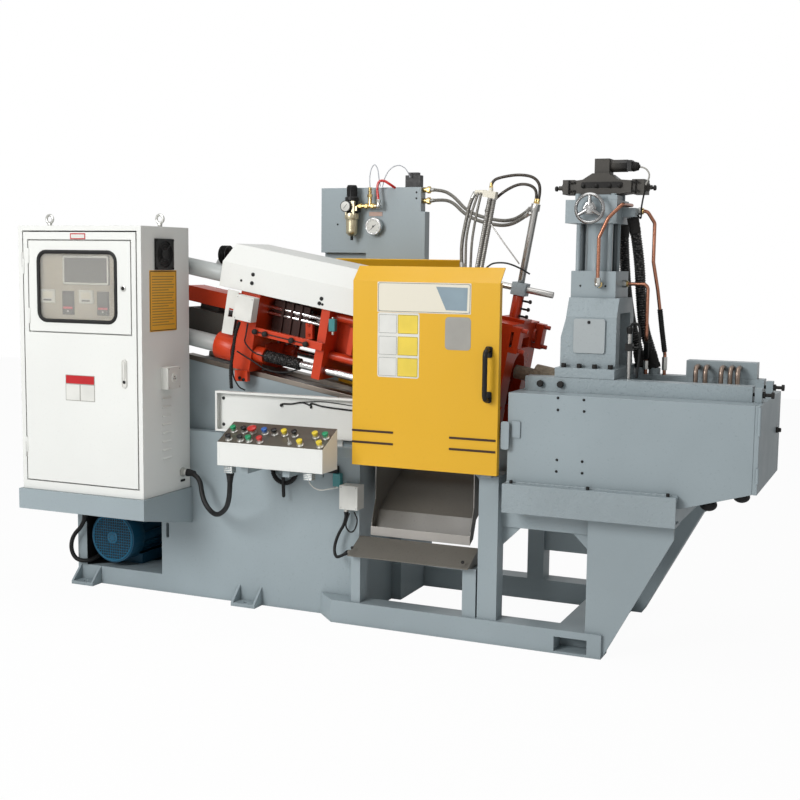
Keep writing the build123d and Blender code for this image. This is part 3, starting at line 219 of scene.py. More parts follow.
white_paint = paint("white_powder_coat", (0.80, 0.81, 0.78),
                    rough=0.42, vary=0.03, peel=0.2, painted_corner_shade=0.3, coat=0.1)
grey_paint = paint("blue_grey_enamel", GREY, rough=0.36, vary=0.07, painted_corner_shade=0.45)
cast_paint = paint("blue_grey_casting", GREY,
                   rough=0.42, vary=0.14, peel=0.5, painted_corner_shade=0.5, coat=0.25, lumps=0.75)
orange_paint = paint("orange_red_enamel", (0.6, 0.048, 0.01),
                     rough=0.33, vary=0.12, peel=0.14, painted_corner_shade=0.9, coat=0.15)
yellow_paint = paint("yellow_powder_coat", (0.77, 0.43, 0.02),
                     rough=0.4, vary=0.03, peel=0.16, painted_corner_shade=0.2, coat=0.15)
blue_paint = paint("motor_blue_enamel", (0.008, 0.075, 0.14), rough=0.34, vary=0.15, peel=0.15, painted_corner_shade=0.6)
grille_blue = paint("grille_blue_enamel", (0.015, 0.14, 0.25), rough=0.3, vary=0.1, peel=0.1, painted_corner_shade=0.4)
# Black enamel for the motor grille's parts; the bed's motor bay walls use it as painted shade.
black_paint_and_bay_shade = paint("black_enamel_and_bay_shade", NEAR_BLACK, rough=0.45, vary=0.2, peel=0.15, painted_corner_shade=0.2)
dark_paint = paint("dark_valve_enamel", (0.07, 0.065, 0.057),
                   rough=0.5, vary=0.15, peel=0.3, painted_corner_shade=0.5, coat=0.0)
pale_grey_paint = paint("pale_grey_enamel", (0.5, 0.53, 0.52), rough=0.34, vary=0.05, peel=0.1, painted_corner_shade=0.25)
plate_paint = paint("cover_plate_enamel", (0.42, 0.46, 0.47), rough=0.34, vary=0.05, peel=0.08, painted_corner_shade=0.3)
shadow_grey = paint("shaded_grey_enamel", (0.1, 0.12, 0.13), rough=0.35, vary=0.1, peel=0.1, painted_corner_shade=0.6)
shadow_orange = paint("shaded_orange_casting", (0.035, 0.008, 0.004),
                      rough=0.5, vary=0.2, peel=0.4, painted_corner_shade=0.9)
beige_paint = paint("beige_panel", (0.6, 0.54, 0.43), rough=0.5, vary=0.04, peel=0.1, painted_corner_shade=0.3, coat=0.0)
ochre_paint = paint("ochre_plate", (0.85, 0.44, 0.05), rough=0.5, vary=0.1, peel=0.1, painted_corner_shade=0.3, coat=0.0)
shaded_ochre = paint("ochre_rows", (0.34, 0.22, 0.06), rough=0.55, vary=0.1, peel=0.1, painted_corner_shade=0.2, coat=0.0)
sign_cream = paint("cream_sign", (0.78, 0.74, 0.62), rough=0.42, vary=0.02, peel=0.05, painted_corner_shade=0.1, coat=0.1)
sheet_steel = paint("oiled_sheet_steel", (0.155, 0.145, 0.125),
                    rough=0.42, vary=0.16, peel=0.08, painted_corner_shade=0.5, coat=0.12)
iron = paint("dark_casting", (0.02, 0.019, 0.018), rough=0.62, vary=0.3, peel=0.5, painted_corner_shade=0.5, coat=0.0)

chrome = metal("hard_chrome", (0.72, 0.72, 0.71), rough=0.13, grain=0.05, stain=0.15)
wheel_chrome = metal("wheel_chrome", (0.36, 0.36, 0.355), rough=0.16, grain=0.05)
steel = metal("ground_steel", (0.5, 0.49, 0.47), rough=0.3, grain=0.12, stretch=(0.15, 1.0, 1.0))
slide_steel = metal("oiled_slide_steel", (0.27, 0.235, 0.2),
                    rough=0.34, grain=0.2, stain=0.5, stretch=(0.1, 1.0, 1.0))
stainless = metal("brushed_stainless", (0.42, 0.4, 0.375), rough=0.33, grain=0.12, stretch=(1.0, 0.06, 0.06))
button_panel = metal("brown_grey_plate", (0.2, 0.185, 0.155),
                     rough=0.38, grain=0.06, stretch=(0.05, 1.0, 1.0))
zinc = metal("zinc_plate", (0.6, 0.6, 0.57), rough=0.3, grain=0.08)
brass = metal("brass_fitting", (0.7, 0.52, 0.22), rough=0.26, grain=0.08)
copper = metal("drawn_copper", (0.43, 0.195, 0.125), rough=0.28, grain=0.06, stain=0.35)
golden_bowl = metal("golden_bowl", (0.62, 0.55, 0.38), rough=0.3, grain=0.04)
copper_oxide = metal("oxidised_copper", (0.34, 0.26, 0.21), rough=0.36, grain=0.08, stain=0.5)

black_plastic = plastic("black_plastic", (0.009, 0.009, 0.009), rough=0.36)
white_plastic = plastic("white_plastic", (0.72, 0.72, 0.68), rough=0.4)
rubber = plastic("black_rubber", (0.008, 0.008, 0.008), rough=0.5, grain=0.2)
screen_grey = plastic("screen_grey", (0.09, 0.09, 0.085), rough=0.25, coat=0.4)
controller_grey = plastic("controller_grey", (0.05, 0.048, 0.042), rough=0.4)
label_grey = plastic("label_grey", (0.36, 0.35, 0.32), rough=0.35, coat=0.2)
label_red = plastic("label_red", (0.5, 0.02, 0.025), rough=0.4)
label_yellow = plastic("label_yellow", (0.82, 0.62, 0.08), rough=0.4)
label_blue = plastic("label_blue_grey", (0.25, 0.33, 0.38), rough=0.4)
pink_bar = plastic("pink_bar", (0.75, 0.09, 0.14), rough=0.4)
pink_plate = plastic("pink_plate", (0.5, 0.34, 0.28), rough=0.4)
red_hose = plastic("red_hose", (0.6, 0.02, 0.015), rough=0.35, coat=0.3)
tube_grey = plastic("pale_air_tube", (0.5, 0.52, 0.56), rough=0.25)
stripe_brown = plastic("dark_stripe", (0.045, 0.022, 0.012))
teal_plastic = plastic("teal_plastic", (0.05, 0.23, 0.24), rough=0.35, coat=0.2)

pane_glass = clear_pane("window_pane", (0.93, 0.92, 0.88))
wrap_cloth = cloth("heat_tape", (0.36, 0.3, 0.22))
steel_braid = braid("steel_braid", (0.46, 0.45, 0.42), (0.14, 0.13, 0.11), 360.0)
brown_braid = braid("brown_braid", (0.13, 0.11, 0.09), (0.035, 0.03, 0.025), 380.0)
# Black net over hoses: its grey cells are partly the weave's own pattern and partly painted highlights.
black_net_and_painted_glints = braid("black_net_and_painted_glints", (0.16, 0.155, 0.15), (0.012, 0.012, 0.012), 130.0)


# Mesh helpers

SMOOTH_BELOW = math.radians(35.0)
BEVEL_ABOVE = math.radians(40.0)
WELD_REACH = 0.00002
FLAT_BELOW = math.radians(0.5)


def as_list(value):
    return value if isinstance(value, (list, tuple)) else [value]


def toward(direction):
    """Turns local Z toward a direction."""
    return Vector(direction).to_track_quat("Z", "Y").to_matrix().to_4x4()


def circle(count, radius=1.0, first=0.0):
    """Evenly spread points of a circle; the first angle is in degrees."""
    angles = [math.radians(first) + 2 * math.pi * k / count for k in range(count)]
    return [(radius * math.cos(a), radius * math.sin(a)) for a in angles]


def spread(middle, count, radius, first=0.0, right=EAST, up=UP):
    """Points of a circle that faces the front, or lies in a given plane."""
    return [Vector(middle) + right * x + up * y for x, y in circle(count, radius, first)]


def rounded(width, height, corner, steps=5):
    """Points of a rounded rectangle, each with its way out."""
    points = []
    for quarter, (right, up) in enumerate(((1, 1), (-1, 1), (-1, -1), (1, -1))):
        for k in range(steps + 1):
            angle = math.radians(90 * (quarter + k / steps))
            out = (math.cos(angle), math.sin(angle))
            x = right * (width / 2 - corner) + corner * out[0]
            y = up * (height / 2 - corner) + corner * out[1]
            points.append((x, y, *out))
    return points


def smooth_line(points, steps=8):
    """Points along a smooth curve through the given ones."""
    points = [Vector(p) for p in points]
    ends = [points[0] * 2 - points[1]] + points + [points[-1] * 2 - points[-2]]
    line = []
    for i in range(1, len(ends) - 2):
        p0, p1, p2, p3 = ends[i - 1:i + 3]
        for k in range(steps):
            t = k / steps
            line.append(0.5 * (
                2 * p1 + (p2 - p0) * t + (2 * p0 - 5 * p1 + 4 * p2 - p3) * t * t
                + (3 * p1 - p0 - 3 * p2 + p3) * t ** 3
            ))
    line.append(points[-1])
    return line


def evenly(points, gap):
    """The same curve with points at equal gaps."""
    fine = smooth_line(points, 24)
    line, left = [fine[0]], gap
    for first, second in zip(fine, fine[1:]):
        step = (second - first).length
        while step > left:
            first = first.lerp(second, left / step)
            line.append(first)
            step, left = (second - first).length, gap
        left -= step
    return line + [fine[-1]]


def soften(piece, width):
    """Rounds the edges with a narrow bevel."""
    edge = piece.modifiers.new("edges", "BEVEL")
    edge.width = width
    edge.segments = 2
    edge.limit_method = "ANGLE"
    edge.angle_limit = BEVEL_ABOVE
    edge.harden_normals = True


class Shape:
    """Collects solids in the row frame, or in a local frame, into the mesh of one piece."""

    def __init__(self, name, materials, slot, bevel=0.0008, body="machine", place=MM):
        self.name, self.materials, self.slot = name, as_list(materials), slot
        self.bevel, self.body, self.place = bevel, body, place
        self.mesh = bmesh.new()

    def _keep(self, verts, matrix, index):
        bmesh.ops.transform(self.mesh, matrix=self.place @ matrix, verts=verts)
        for face in {f for v in verts for f in v.link_faces}:
            face.material_index = index

    def _skin(self, loops, matrix, index, closed=False):
        """Joins loops of points, which close on the first one or get a cap at each end."""
        rings = [[self.mesh.verts.new(p) for p in loop] for loop in loops]
        for first, second in zip(rings, rings[1:] + rings[:1] if closed else rings[1:]):
            for k in range(len(first)):
                after = (k + 1) % len(first)
                self.mesh.faces.new((first[k], first[after], second[after], second[k]))
        if not closed:
            self.mesh.faces.new(rings[0][::-1])
            self.mesh.faces.new(rings[-1])
        self._keep([v for ring in rings for v in ring], matrix, index)

    def box(self, low, high, index=0, turn=Matrix.Identity(4)):
        size = Vector(high) - Vector(low)
        middle = (Vector(high) + Vector(low)) / 2
        made = bmesh.ops.create_cube(self.mesh, size=1.0)
        self._keep(made["verts"], Matrix.Translation(middle) @ turn @ Matrix.Diagonal((*size, 1.0)), index)

    def rod(self, start, end, radius, index=0, top=None, sides=24):
        """Round bar or cone between two points."""
        a, b = Vector(start), Vector(end)
        made = bmesh.ops.create_cone(
            self.mesh, cap_ends=True, segments=sides, radius1=radius,
            radius2=radius if top is None else top, depth=(b - a).length,
        )
        self._keep(made["verts"], Matrix.Translation((a + b) / 2) @ toward(b - a), index)

    def hexagon(self, start, end, across, index=0):
        self.rod(start, end, across / math.sqrt(3), index, sides=6)

    def ball(self, centre, radius, index=0, stretch=(1.0, 1.0, 1.0)):
        made = bmesh.ops.create_uvsphere(self.mesh, u_segments=20, v_segments=12, radius=radius)
        self._keep(made["verts"], Matrix.Translation(centre) @ Matrix.Diagonal((*stretch, 1.0)), index)

    def ring(self, centre, normal, radius, thick, index=0, around=32, across=10):
        """Round ring whose axis is the normal."""
        loops = [[(x * (radius + c), y * (radius + c), s) for c, s in circle(across, thick)]
                 for x, y in circle(around)]
        self._skin(loops, Matrix.Translation(centre) @ toward(normal), index, closed=True)

    def lathe(self, profile, start, axis, index=0, sides=32):
        """Solid of revolution: profile is (distance along the axis, radius) pairs."""
        loops = [[(x, y, along) for x, y in circle(sides, radius)] for along, radius in profile]
        self._skin(loops, Matrix.Translation(start) @ toward(axis), index)

    def prism(self, outline, offset, index=0):
        """Flat outline of 3-D points, thickened by an offset vector."""
        outline = [Vector(p) for p in outline]
        self._skin([outline, [p + offset for p in outline]], Matrix.Identity(4), index)

    def tube(self, points, radius, index=0, across=10):
        """Round tube that follows points, with one radius or a radius for each."""
        points = [Vector(p) for p in points]
        radii = radius if isinstance(radius, list) else [radius] * len(points)
        side = None
        loops = []
        for i, point in enumerate(points):
            ahead = points[min(i + 1, len(points) - 1)] - points[max(i - 1, 0)]
            ahead.normalize()
            side = side or ahead.orthogonal().normalized()
            side = (side - ahead * side.dot(ahead)).normalized()
            other = ahead.cross(side)
            loops.append([point + side * x + other * y for x, y in circle(across, radii[i])])
        self._skin(loops, Matrix.Identity(4), index)

    def bent(self, points, radius, index=0):
        """Wire, pipe or hose that bends smoothly through a few points."""
        self.tube(smooth_line(points), radius, index)

    def panel(self, centre, width, height, thick, corner=2.0, index=0, right=EAST, up=UP):
        """Thin plate with round corners that stands out of a face, which is the front unless said."""
        outline = [Vector(centre) + right * x + up * y for x, y, _, _ in rounded(width, height, corner)]
        self.prism(outline, right.cross(up) * thick, index)

    def rim(self, centre, width, height, corner, wide, proud, index=0, right=EAST, up=UP, across=10):
        """Raised band that runs round a rounded rectangle."""
        out = right.cross(up)
        loops = []
        for x, y, side_x, side_y in rounded(width, height, corner):
            middle = Vector(centre) + right * x + up * y
            side = right * side_x + up * side_y
            loops.append([middle + side * (wide / 2 * c) + out * (proud * s) for c, s in circle(across)])
        self._skin(loops, Matrix.Identity(4), index, closed=True)

    def cap_screw(self, at, out, radius=5.0, height=6.0, index=0):
        """Round head with a socket in it."""
        edge = radius * 0.12
        self.lathe([(0, radius), (height - edge, radius), (height, radius - edge), (height, radius * 0.55),
                    (height * 0.45, radius * 0.5)], at, out, index, sides=20)

    def dome(self, at, out, radius=3.0, index=0):
        """Button head screw with its small socket."""
        shares = ((0, 1), (0.3, 0.94), (0.55, 0.66), (0.6, 0.4), (0.3, 0.36))
        self.lathe([(radius * along, radius * across) for along, across in shares], at, out, index, sides=16)

    def ribbed(self, points, radius, gap, depth, index=0, across=14):
        """Hose cover with one round rib at each gap along its way."""
        line = evenly(points, gap / 4)
        self.tube(line, [radius + depth * math.sin(math.pi * i / 2) for i in range(len(line))], index, across)

    def build(self):
        """Turns the collected solids into a piece that rides on its body."""
        bmesh.ops.recalc_face_normals(self.mesh, faces=self.mesh.faces)
        data = bpy.data.meshes.new(self.name)
        self.mesh.to_mesh(data)
        self.mesh.free()
        data.shade_smooth()
        data.set_sharp_from_angle(angle=SMOOTH_BELOW)
        for material in self.materials:
            data.materials.append(material)
        made = bpy.data.objects.new(self.name, data)
        bpy.context.scene.collection.objects.link(made)
        if self.bevel:
            soften(made, self.bevel)
        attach(made, self.body)
        return made


PIECES = []


def piece(*settings, **more):
    """A shape that is built once its region is drawn."""
    PIECES.append(Shape(*settings, **more))
    return PIECES[-1]


# Finishes of the model's own pieces

def dress(node, materials, width, choose=None):
    """Gives a CAD node its finish, face by face where a choice is given, and rounds its sharp edges."""
    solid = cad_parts[node]
    solid.data.materials.clear()
    for material in as_list(materials):
        solid.data.materials.append(material)
    if choose:
        for face in solid.data.polygons:
            face.material_index = int(choose(face.center * 1000, face.normal))
    if width:
        solid.modifiers.new("join", "WELD").merge_threshold = WELD_REACH
        flat = solid.modifiers.new("flat", "DECIMATE")
        flat.decimate_type = "DISSOLVE"
        flat.angle_limit = FLAT_BELOW
        flat.delimit = {"MATERIAL"}
        soften(solid, width)


def fitting_finish(centre, normal):
    """Zinc lifting eyes and gland, black fan, white socket."""
    if centre.z > 1500 or centre.z < 600:
        return 2
    return 0 if centre.z > 1300 else 1


def instrument_finish(centre, normal):
    """The back plate, the screen above and the two kinds of controllers below."""
    if centre.y > -484.5:
        return 0
    if centre.z > 1280:
        return 1
    return 2 if centre.x < -490 or -410 < centre.x < -330 else 3


def in_motor_bay(centre, normal):
    """The walls of the bay behind the motor are unlit and dark."""
    return -662 < centre.x < -374 and -160 < centre.y < 145 and 72 < centre.z < 312


def air_finish(centre, normal):
    """Valve and fittings on the right, then the gauge, the pipes, the bowl and the black regulator."""
    if centre.x > 580:
        return 1 if centre.x > 655 else 0
    if centre.x > 415 and centre.z < 1576:
        return 3
    if centre.x > 392:
        return 1 if centre.x < 468 else 2
    return 4 if 1494 < centre.z < 1592 and centre.x > 320 else 0


# Push buttons: the back row and the front row, by their place along the box.
BUTTON_COLORS = {
    "black": NEAR_BLACK, "green": (0.015, 0.3, 0.13), "red": (0.55, 0.03, 0.025),
    "blue": (0.03, 0.12, 0.42), "yellow": (0.78, 0.6, 0.04),
}
BACK_ROW = {253: "green", 299: "black", 336: "red", 389: "blue", 430: "black", 473: "yellow", 516: "black",
            603: "yellow", 645: "green"}
FRONT_ROW = {260: "black", 311: "black", 348: "green", 395: "red", 564: "yellow", 645: "yellow"}
BUTTON_MATERIALS = [zinc] + [
    plastic(f"button_{name}", color, 0.3, coat=0.3) for name, color in BUTTON_COLORS.items()
]
PANEL_TURN = math.radians(27.1)
PANEL_OUT = Vector((0, -math.sin(PANEL_TURN), math.cos(PANEL_TURN)))
PANEL_UP = Vector((0, math.cos(PANEL_TURN), math.sin(PANEL_TURN)))
PANEL_LOW = Vector((0, -475, 707))
PANEL_DEPTH = 138.2
ROW_SPLIT = 0.33 * PANEL_DEPTH
CAP_HEIGHT = 10.5
BUTTON_REACH = 20


def button_finish(centre, normal):
    """Zinc bezels and stems below, a coloured cap above."""
    from_low = centre - PANEL_LOW
    if from_low.dot(PANEL_OUT) < CAP_HEIGHT:
        return 0
    row = BACK_ROW if from_low.dot(PANEL_UP) > ROW_SPLIT else FRONT_ROW
    nearest = min(row, key=lambda x: abs(x - centre.x))
    if abs(nearest - centre.x) > BUTTON_REACH:
        return 0
    return 1 + list(BUTTON_COLORS).index(row[nearest])


# Material, edge width in metres, nodes.
PLAIN_FINISHES = (
    (grey_paint, 0.0015, "bed_feet slideway frame_front frame_rear frame_ties cabinet_shelf furnace_box"
                         " furnace_door shot_cylinder rear_box guard_rails control_arms"),
    (cast_paint, 0.0015, "a_frame injection_column furnace_ledge spray_socket"),
    (white_paint, 0.0015, "cabinet cabinet_door window_door tray top_cover"),
    (orange_paint, 0.0015, "fixed_platen moving_platen tail_plate clamp_cylinder stop_bar"),
    (chrome, 0.0006, "tie_bars clamp_ram"), (wheel_chrome, 0.001, "handwheel"),
    (yellow_paint, 0.0008, "front_guard rear_guard"), (pale_grey_paint, 0.002, "tie_bar_sleeves"),
    (slide_steel, 0.0015, "slide_strips"), (sheet_steel, 0.0015, "drop_plate"),
    (blue_paint, 0.0015, "pump_motor"), (iron, 0.0015, "crucible"), (steel, 0.0008, "plunger_rod"),
    (wrap_cloth, 0.0015, "nozzle"),
    (copper, 0, "copper_pipes"), (black_plastic, 0, "guard_handle"), (label_grey, 0.0005, "guard_window"),
    (pane_glass, 0, "window_glass"),
)

# Node, materials, edge width, and the choice of material by a face's centre in mm and its normal.
MIXED_FINISHES = (
    ("chute", [sheet_steel, stainless], 0.0006, lambda c, n: n.y < -0.95),
    ("control_box", [white_paint, button_panel], 0.002, lambda c, n: n.z > 0.6 and n.y < -0.2),
    ("cabinet_fittings", [black_plastic, white_plastic, zinc, iron], 0.001, fitting_finish),
    ("instrument_panel", [beige_paint, screen_grey, white_plastic, controller_grey], 0.001,
     instrument_finish),
    ("junction_boxes", [white_plastic, zinc], 0.001, lambda c, n: c.x > 500 and c.z < 441),
    ("heater_box", [grey_paint, copper_oxide], 0.001, lambda c, n: c.z < 985 or c.y < 114.5),
    ("push_buttons", BUTTON_MATERIALS, 0.0006, button_finish),
    ("hydraulic_valves", [dark_paint, black_plastic], 0.001, lambda c, n: c.x > 1600 and c.z > 1695),
    ("air_unit", [black_plastic, brass, zinc, chrome, golden_bowl], 0.001, air_finish),
    ("spray_pipe", [steel, sign_cream], 0.0006, lambda c, n: c.z > 1615 and c.x < 1160),
    # The walls of the bed's motor bay get black enamel as painted shade.
    ("bed", [grey_paint, black_paint_and_bay_shade], 0.0015, in_motor_bay),
)


def dress_nodes():
    for material, width, nodes in PLAIN_FINISHES:
        for node in nodes.split():
            dress(node, material, width)
    for finish in MIXED_FINISHES:
        dress(*finish)


# Cords: the same routes as the model's, in millimetres.

CABINET_CABLE = [
    (-72, -235, 529), (-12, -238, 527), (16, -262, 424), (92, -290, 372),
    (168, -332, 414), (222, -396, 478), (256, -447, 536), (259, -450, 586),
]
MOTOR_CABLE = [
    (-600, -212, 304), (-612, -212, 256), (-668, -212, 206), (-684, -210, 146), (-660, -206, 98),
    (-612, -188, 92), (-594, -140, 104), (-590, -88, 126), (-590, -36, 134),
]
BOX_CABLE = [
    (630, -205, 427), (630, -207, 388), (598, -213, 334), (586, -222, 282), (602, -238, 250),
    (632, -252, 262), (664, -256, 282),
]
HYDRAULIC_HOSES = [
    [(1652, 46, 1560), (1668, 50, 1480), (1680, 62, 1380), (1684, 84, 1270), (1692, 112, 1160),
     (1714, 136, 1076), (1730, 144, 1010)],
    [(1595, 144, 1550), (1598, 150, 1470), (1604, 158, 1370), (1614, 165, 1270), (1634, 165, 1165),
     (1661, 156, 1080), (1681, 146, 1010)],
]
BRAIDED_HOSES = [
    [(690, 455, 1691), (752, 444, 1690), (830, 380, 1658), (914, 292, 1600), (1000, 216, 1572),
     (1082, 152, 1556), (1154, 98, 1548), (1222, 52, 1560), (1274, 16, 1592)],
    [(690, 455, 1645), (750, 440, 1650), (828, 370, 1636), (912, 282, 1584), (998, 202, 1554),
     (1080, 136, 1538), (1154, 80, 1530), (1222, 32, 1544), (1274, 2, 1574)],
    [(1070, -24, 1651), (1050, -24, 1618), (1036, -25, 1550), (1022, -26, 1480), (1018, -25, 1420),
     (1022, -24, 1366)],
]
LOOP_HOSES = [
    [(1296, 5, 1610), (1304, 4, 1648), (1284, 4, 1676), (1236, 5, 1684), (1186, 6, 1664), (1142, 6, 1632),
     (1112, 4, 1600)],
    [(1308, -6, 1608), (1322, -6, 1660), (1302, -12, 1704), (1244, -18, 1716), (1176, -22, 1708),
     (1134, -24, 1694), (1132, -24, 1668)],
]


def cord_curve(name, points, radius, material, replaced, ends):
    """A cord as a curve; it stands for its solid in the model."""
    data = bpy.data.curves.new(name, "CURVE")
    data.dimensions = "3D"
    line = data.splines.new("NURBS")
    line.points.add(len(points) - 1)
    for spot, point in zip(line.points, points):
        spot.co = (*(Vector(point) / 1000), 1.0)
    line.order_u = 3
    line.use_endpoint_u = True
    line.resolution_u = 10
    data.bevel_depth = radius / 1000
    data.bevel_resolution = 5
    data.use_fill_caps = True
    data.materials.append(material)
    cord = bpy.data.objects.new(name, data)
    bpy.context.scene.collection.objects.link(cord)
    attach(cord, "machine")
    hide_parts(replaced)


def cord_ends(shape, route, parts):
    """The same turned parts at both ends of a cord."""
    for end, following in ((route[0], route[1]), (route[-1], route[-2])):
        ahead = (Vector(following) - Vector(end)).normalized()
        for profile, sides in parts:
            shape.lathe(profile, end, ahead, sides=sides)
    return shape.build()


def ferrules(name, route, radius, material, slot):
    """Hexagon and crimped sleeve at both ends of a hose."""
    shares = ((1, 1.16), (1.6, 1.2), (2.0, 1.12), (2.4, 1.2), (2.8, 1.12), (3.2, 1.16), (3.4, 1.02))
    sleeve = [(radius * along, radius * across) for along, across in shares]
    nut = [(0, radius * 1.35), (radius, radius * 1.35)]
    return cord_ends(Shape(name, material, slot, 0.0003), route, ((nut, 6), (sleeve, 32)))


def reliefs(name, route, radius):
    """Tapered and ribbed rubber sleeve at both ends of a cable."""
    profile = [(0, radius * 1.55), (radius * 0.8, radius * 1.5)]
    for k in range(5):
        along = radius * (0.9 + 0.5 * k)
        taper = radius * (1.42 - 0.07 * k)
        profile += [(along, taper * 0.94), (along + radius * 0.25, taper)]
    profile.append((radius * 3.6, radius * 1.02))
    return cord_ends(Shape(name, rubber, "cable_black", 0), route, ((profile, 32),))


def add_cords():
    for name, route, radius, length in (
        ("cabinet_cable", CABINET_CABLE, 10, 580), ("motor_cable", MOTOR_CABLE, 9, 441),
        ("box_cable", BOX_CABLE, 6, 261),
    ):
        ends = reliefs(f"{name}_reliefs", route, radius)
        cord_curve(f"{name}_line", route, radius, rubber, name, [ends])
    for i, (route, length) in enumerate(zip(HYDRAULIC_HOSES, (567, 551))):
        ends = ferrules(f"hydraulic_ferrules_{i}", route, 18, iron, "dark_iron")
        cover = Shape(f"hydraulic_wrap_{i}", black_net_and_painted_glints, "rubber_black", 0)
        cover.ribbed(evenly(route, 10)[6:-6], 18.8, 9.0, 1.6)
        cord_curve(f"hydraulic_hose_{i}", route, 18, rubber, "hydraulic_hoses",
                   [ends, cover.build()])
    for i, (route, length) in enumerate(zip(BRAIDED_HOSES, (768, 769, 293))):
        ends = ferrules(f"braided_ferrules_{i}", route, 7, zinc, "steel_ground")
        cord_curve(f"braided_hose_{i}", route, 7, steel_braid, "braided_hoses", [ends])
    for i, (route, length) in enumerate(zip(LOOP_HOSES, (269, 293))):
        ends = ferrules(f"loop_ferrules_{i}", route, 5.5, brass, "steel_ground")
        cord_curve(f"loop_hose_{i}", route, 5.5, brown_braid, "loop_hoses", [ends])


# Small pieces and details, region by region, in millimetres

DOOR_Y = -502.3
INSTRUMENT_Y = -489
SIDE_X = -98
GUARD_Y = -317
FURNACE_Y = -281
COVER_Y = -175
TRAY_WALL_Y = -185
SPRAY_POST_V = -24


def screws(name, places, out, radius, material=black_plastic, slot="plastic_black"):
    """Button head screws on a face."""
    shape = piece(name, material, slot, 0)
    for at in places:
        shape.dome(at, out, radius)


def cabinet_door_details():
    labels = piece("door_labels", [label_red, white_plastic, label_grey], "plastic_white", 0.0002,
                   "cabinet_door")
    labels.panel((-391, DOOR_Y, 1472.5), 72, 23, 0.8, 1, 0)
    labels.panel((-391, DOOR_Y - 0.8, 1472.5), 64, 15, 0.3, 1, 1)
    labels.panel((-391, DOOR_Y, 880), 140, 102, 0.8, 1.5, 2)
    labels.panel((-391, DOOR_Y - 0.8, 913), 135, 32, 0.3, 1, 0)
    for x in (-426, -356):
        labels.panel((x, DOOR_Y - 0.8, 862.5), 65, 62, 0.3, 1, 1)
    handle = piece("door_handle", [white_plastic, iron], "plastic_white", 0.0008, "cabinet_door")
    base = Vector((-180, DOOR_Y, 946.5))
    top = base + FRONT * 3
    handle.panel(base, 24, 112, 3, 11.9)
    handle.rim(top, 20, 108, 9.9, 4, 2.2)
    handle.panel(top + UP * 14, 11, 66, 4, 5)
    handle.lathe([(0, 6.5), (2, 6.5), (2.6, 5.6), (2.6, 2.6), (1.0, 2.4)], top + DOWN * 32, FRONT, 1)
    for name, z in (("upper", 1380), ("lower", 620)):
        hinge = piece(f"door_hinge_{name}", zinc, "steel_ground", 0.0004)
        hinge.rod((-661, DOOR_Y + 2, z - 30), (-661, DOOR_Y + 2, z + 30), 5)
        hinge.ring((-661, DOOR_Y + 2, z), UP, 5, 0.8)


def window_door_details():
    gasket = piece("window_gasket", rubber, "rubber_black", 0, "window_door")
    gasket.rim((-400.5, DOOR_Y, 1277), 369, 270, 36, 15, 4.5, across=14)
    lock = piece("window_lock", [zinc, iron], "steel_ground", 0.0003, "window_door")
    lock.lathe([(0, 12), (2.5, 12), (3.5, 10.5), (3.5, 8)], (-181, DOOR_Y, 1275), FRONT, 0)
    lock.lathe([(3.5, 7.5), (4.5, 7), (4.5, 2), (3.0, 1.6)], (-181, DOOR_Y, 1275), FRONT, 1)
    faces = piece("instrument_faces", [white_plastic, controller_grey, pink_bar, screen_grey, sign_cream],
                  "plastic_white", 0.0003, "cabinet_door")
    faces.rim((-366, INSTRUMENT_Y, 1341.5), 210, 104, 5, 8, 2)
    for x in (-551, -366):
        faces.rim((x, INSTRUMENT_Y, 1238), 62, 46, 3, 4, 1.6)
        faces.panel((x, INSTRUMENT_Y, 1243), 46, 24, 1.0, 2, 4)
        faces.panel((x, INSTRUMENT_Y, 1223), 40, 7, 1.2, 1, 3)
    for x in (-452.5, -286.5):
        faces.rim((x, INSTRUMENT_Y, 1213.5), 48, 84, 3, 4, 1.6, 1)
        faces.panel((x, INSTRUMENT_Y, 1229), 34, 30, 1.0, 2, 3)
        faces.panel((x, INSTRUMENT_Y, 1194), 44, 8, 1.2, 1, 2)
        faces.lathe([(0, 4), (2, 3.6)], (x, INSTRUMENT_Y, 1181), FRONT, sides=16)


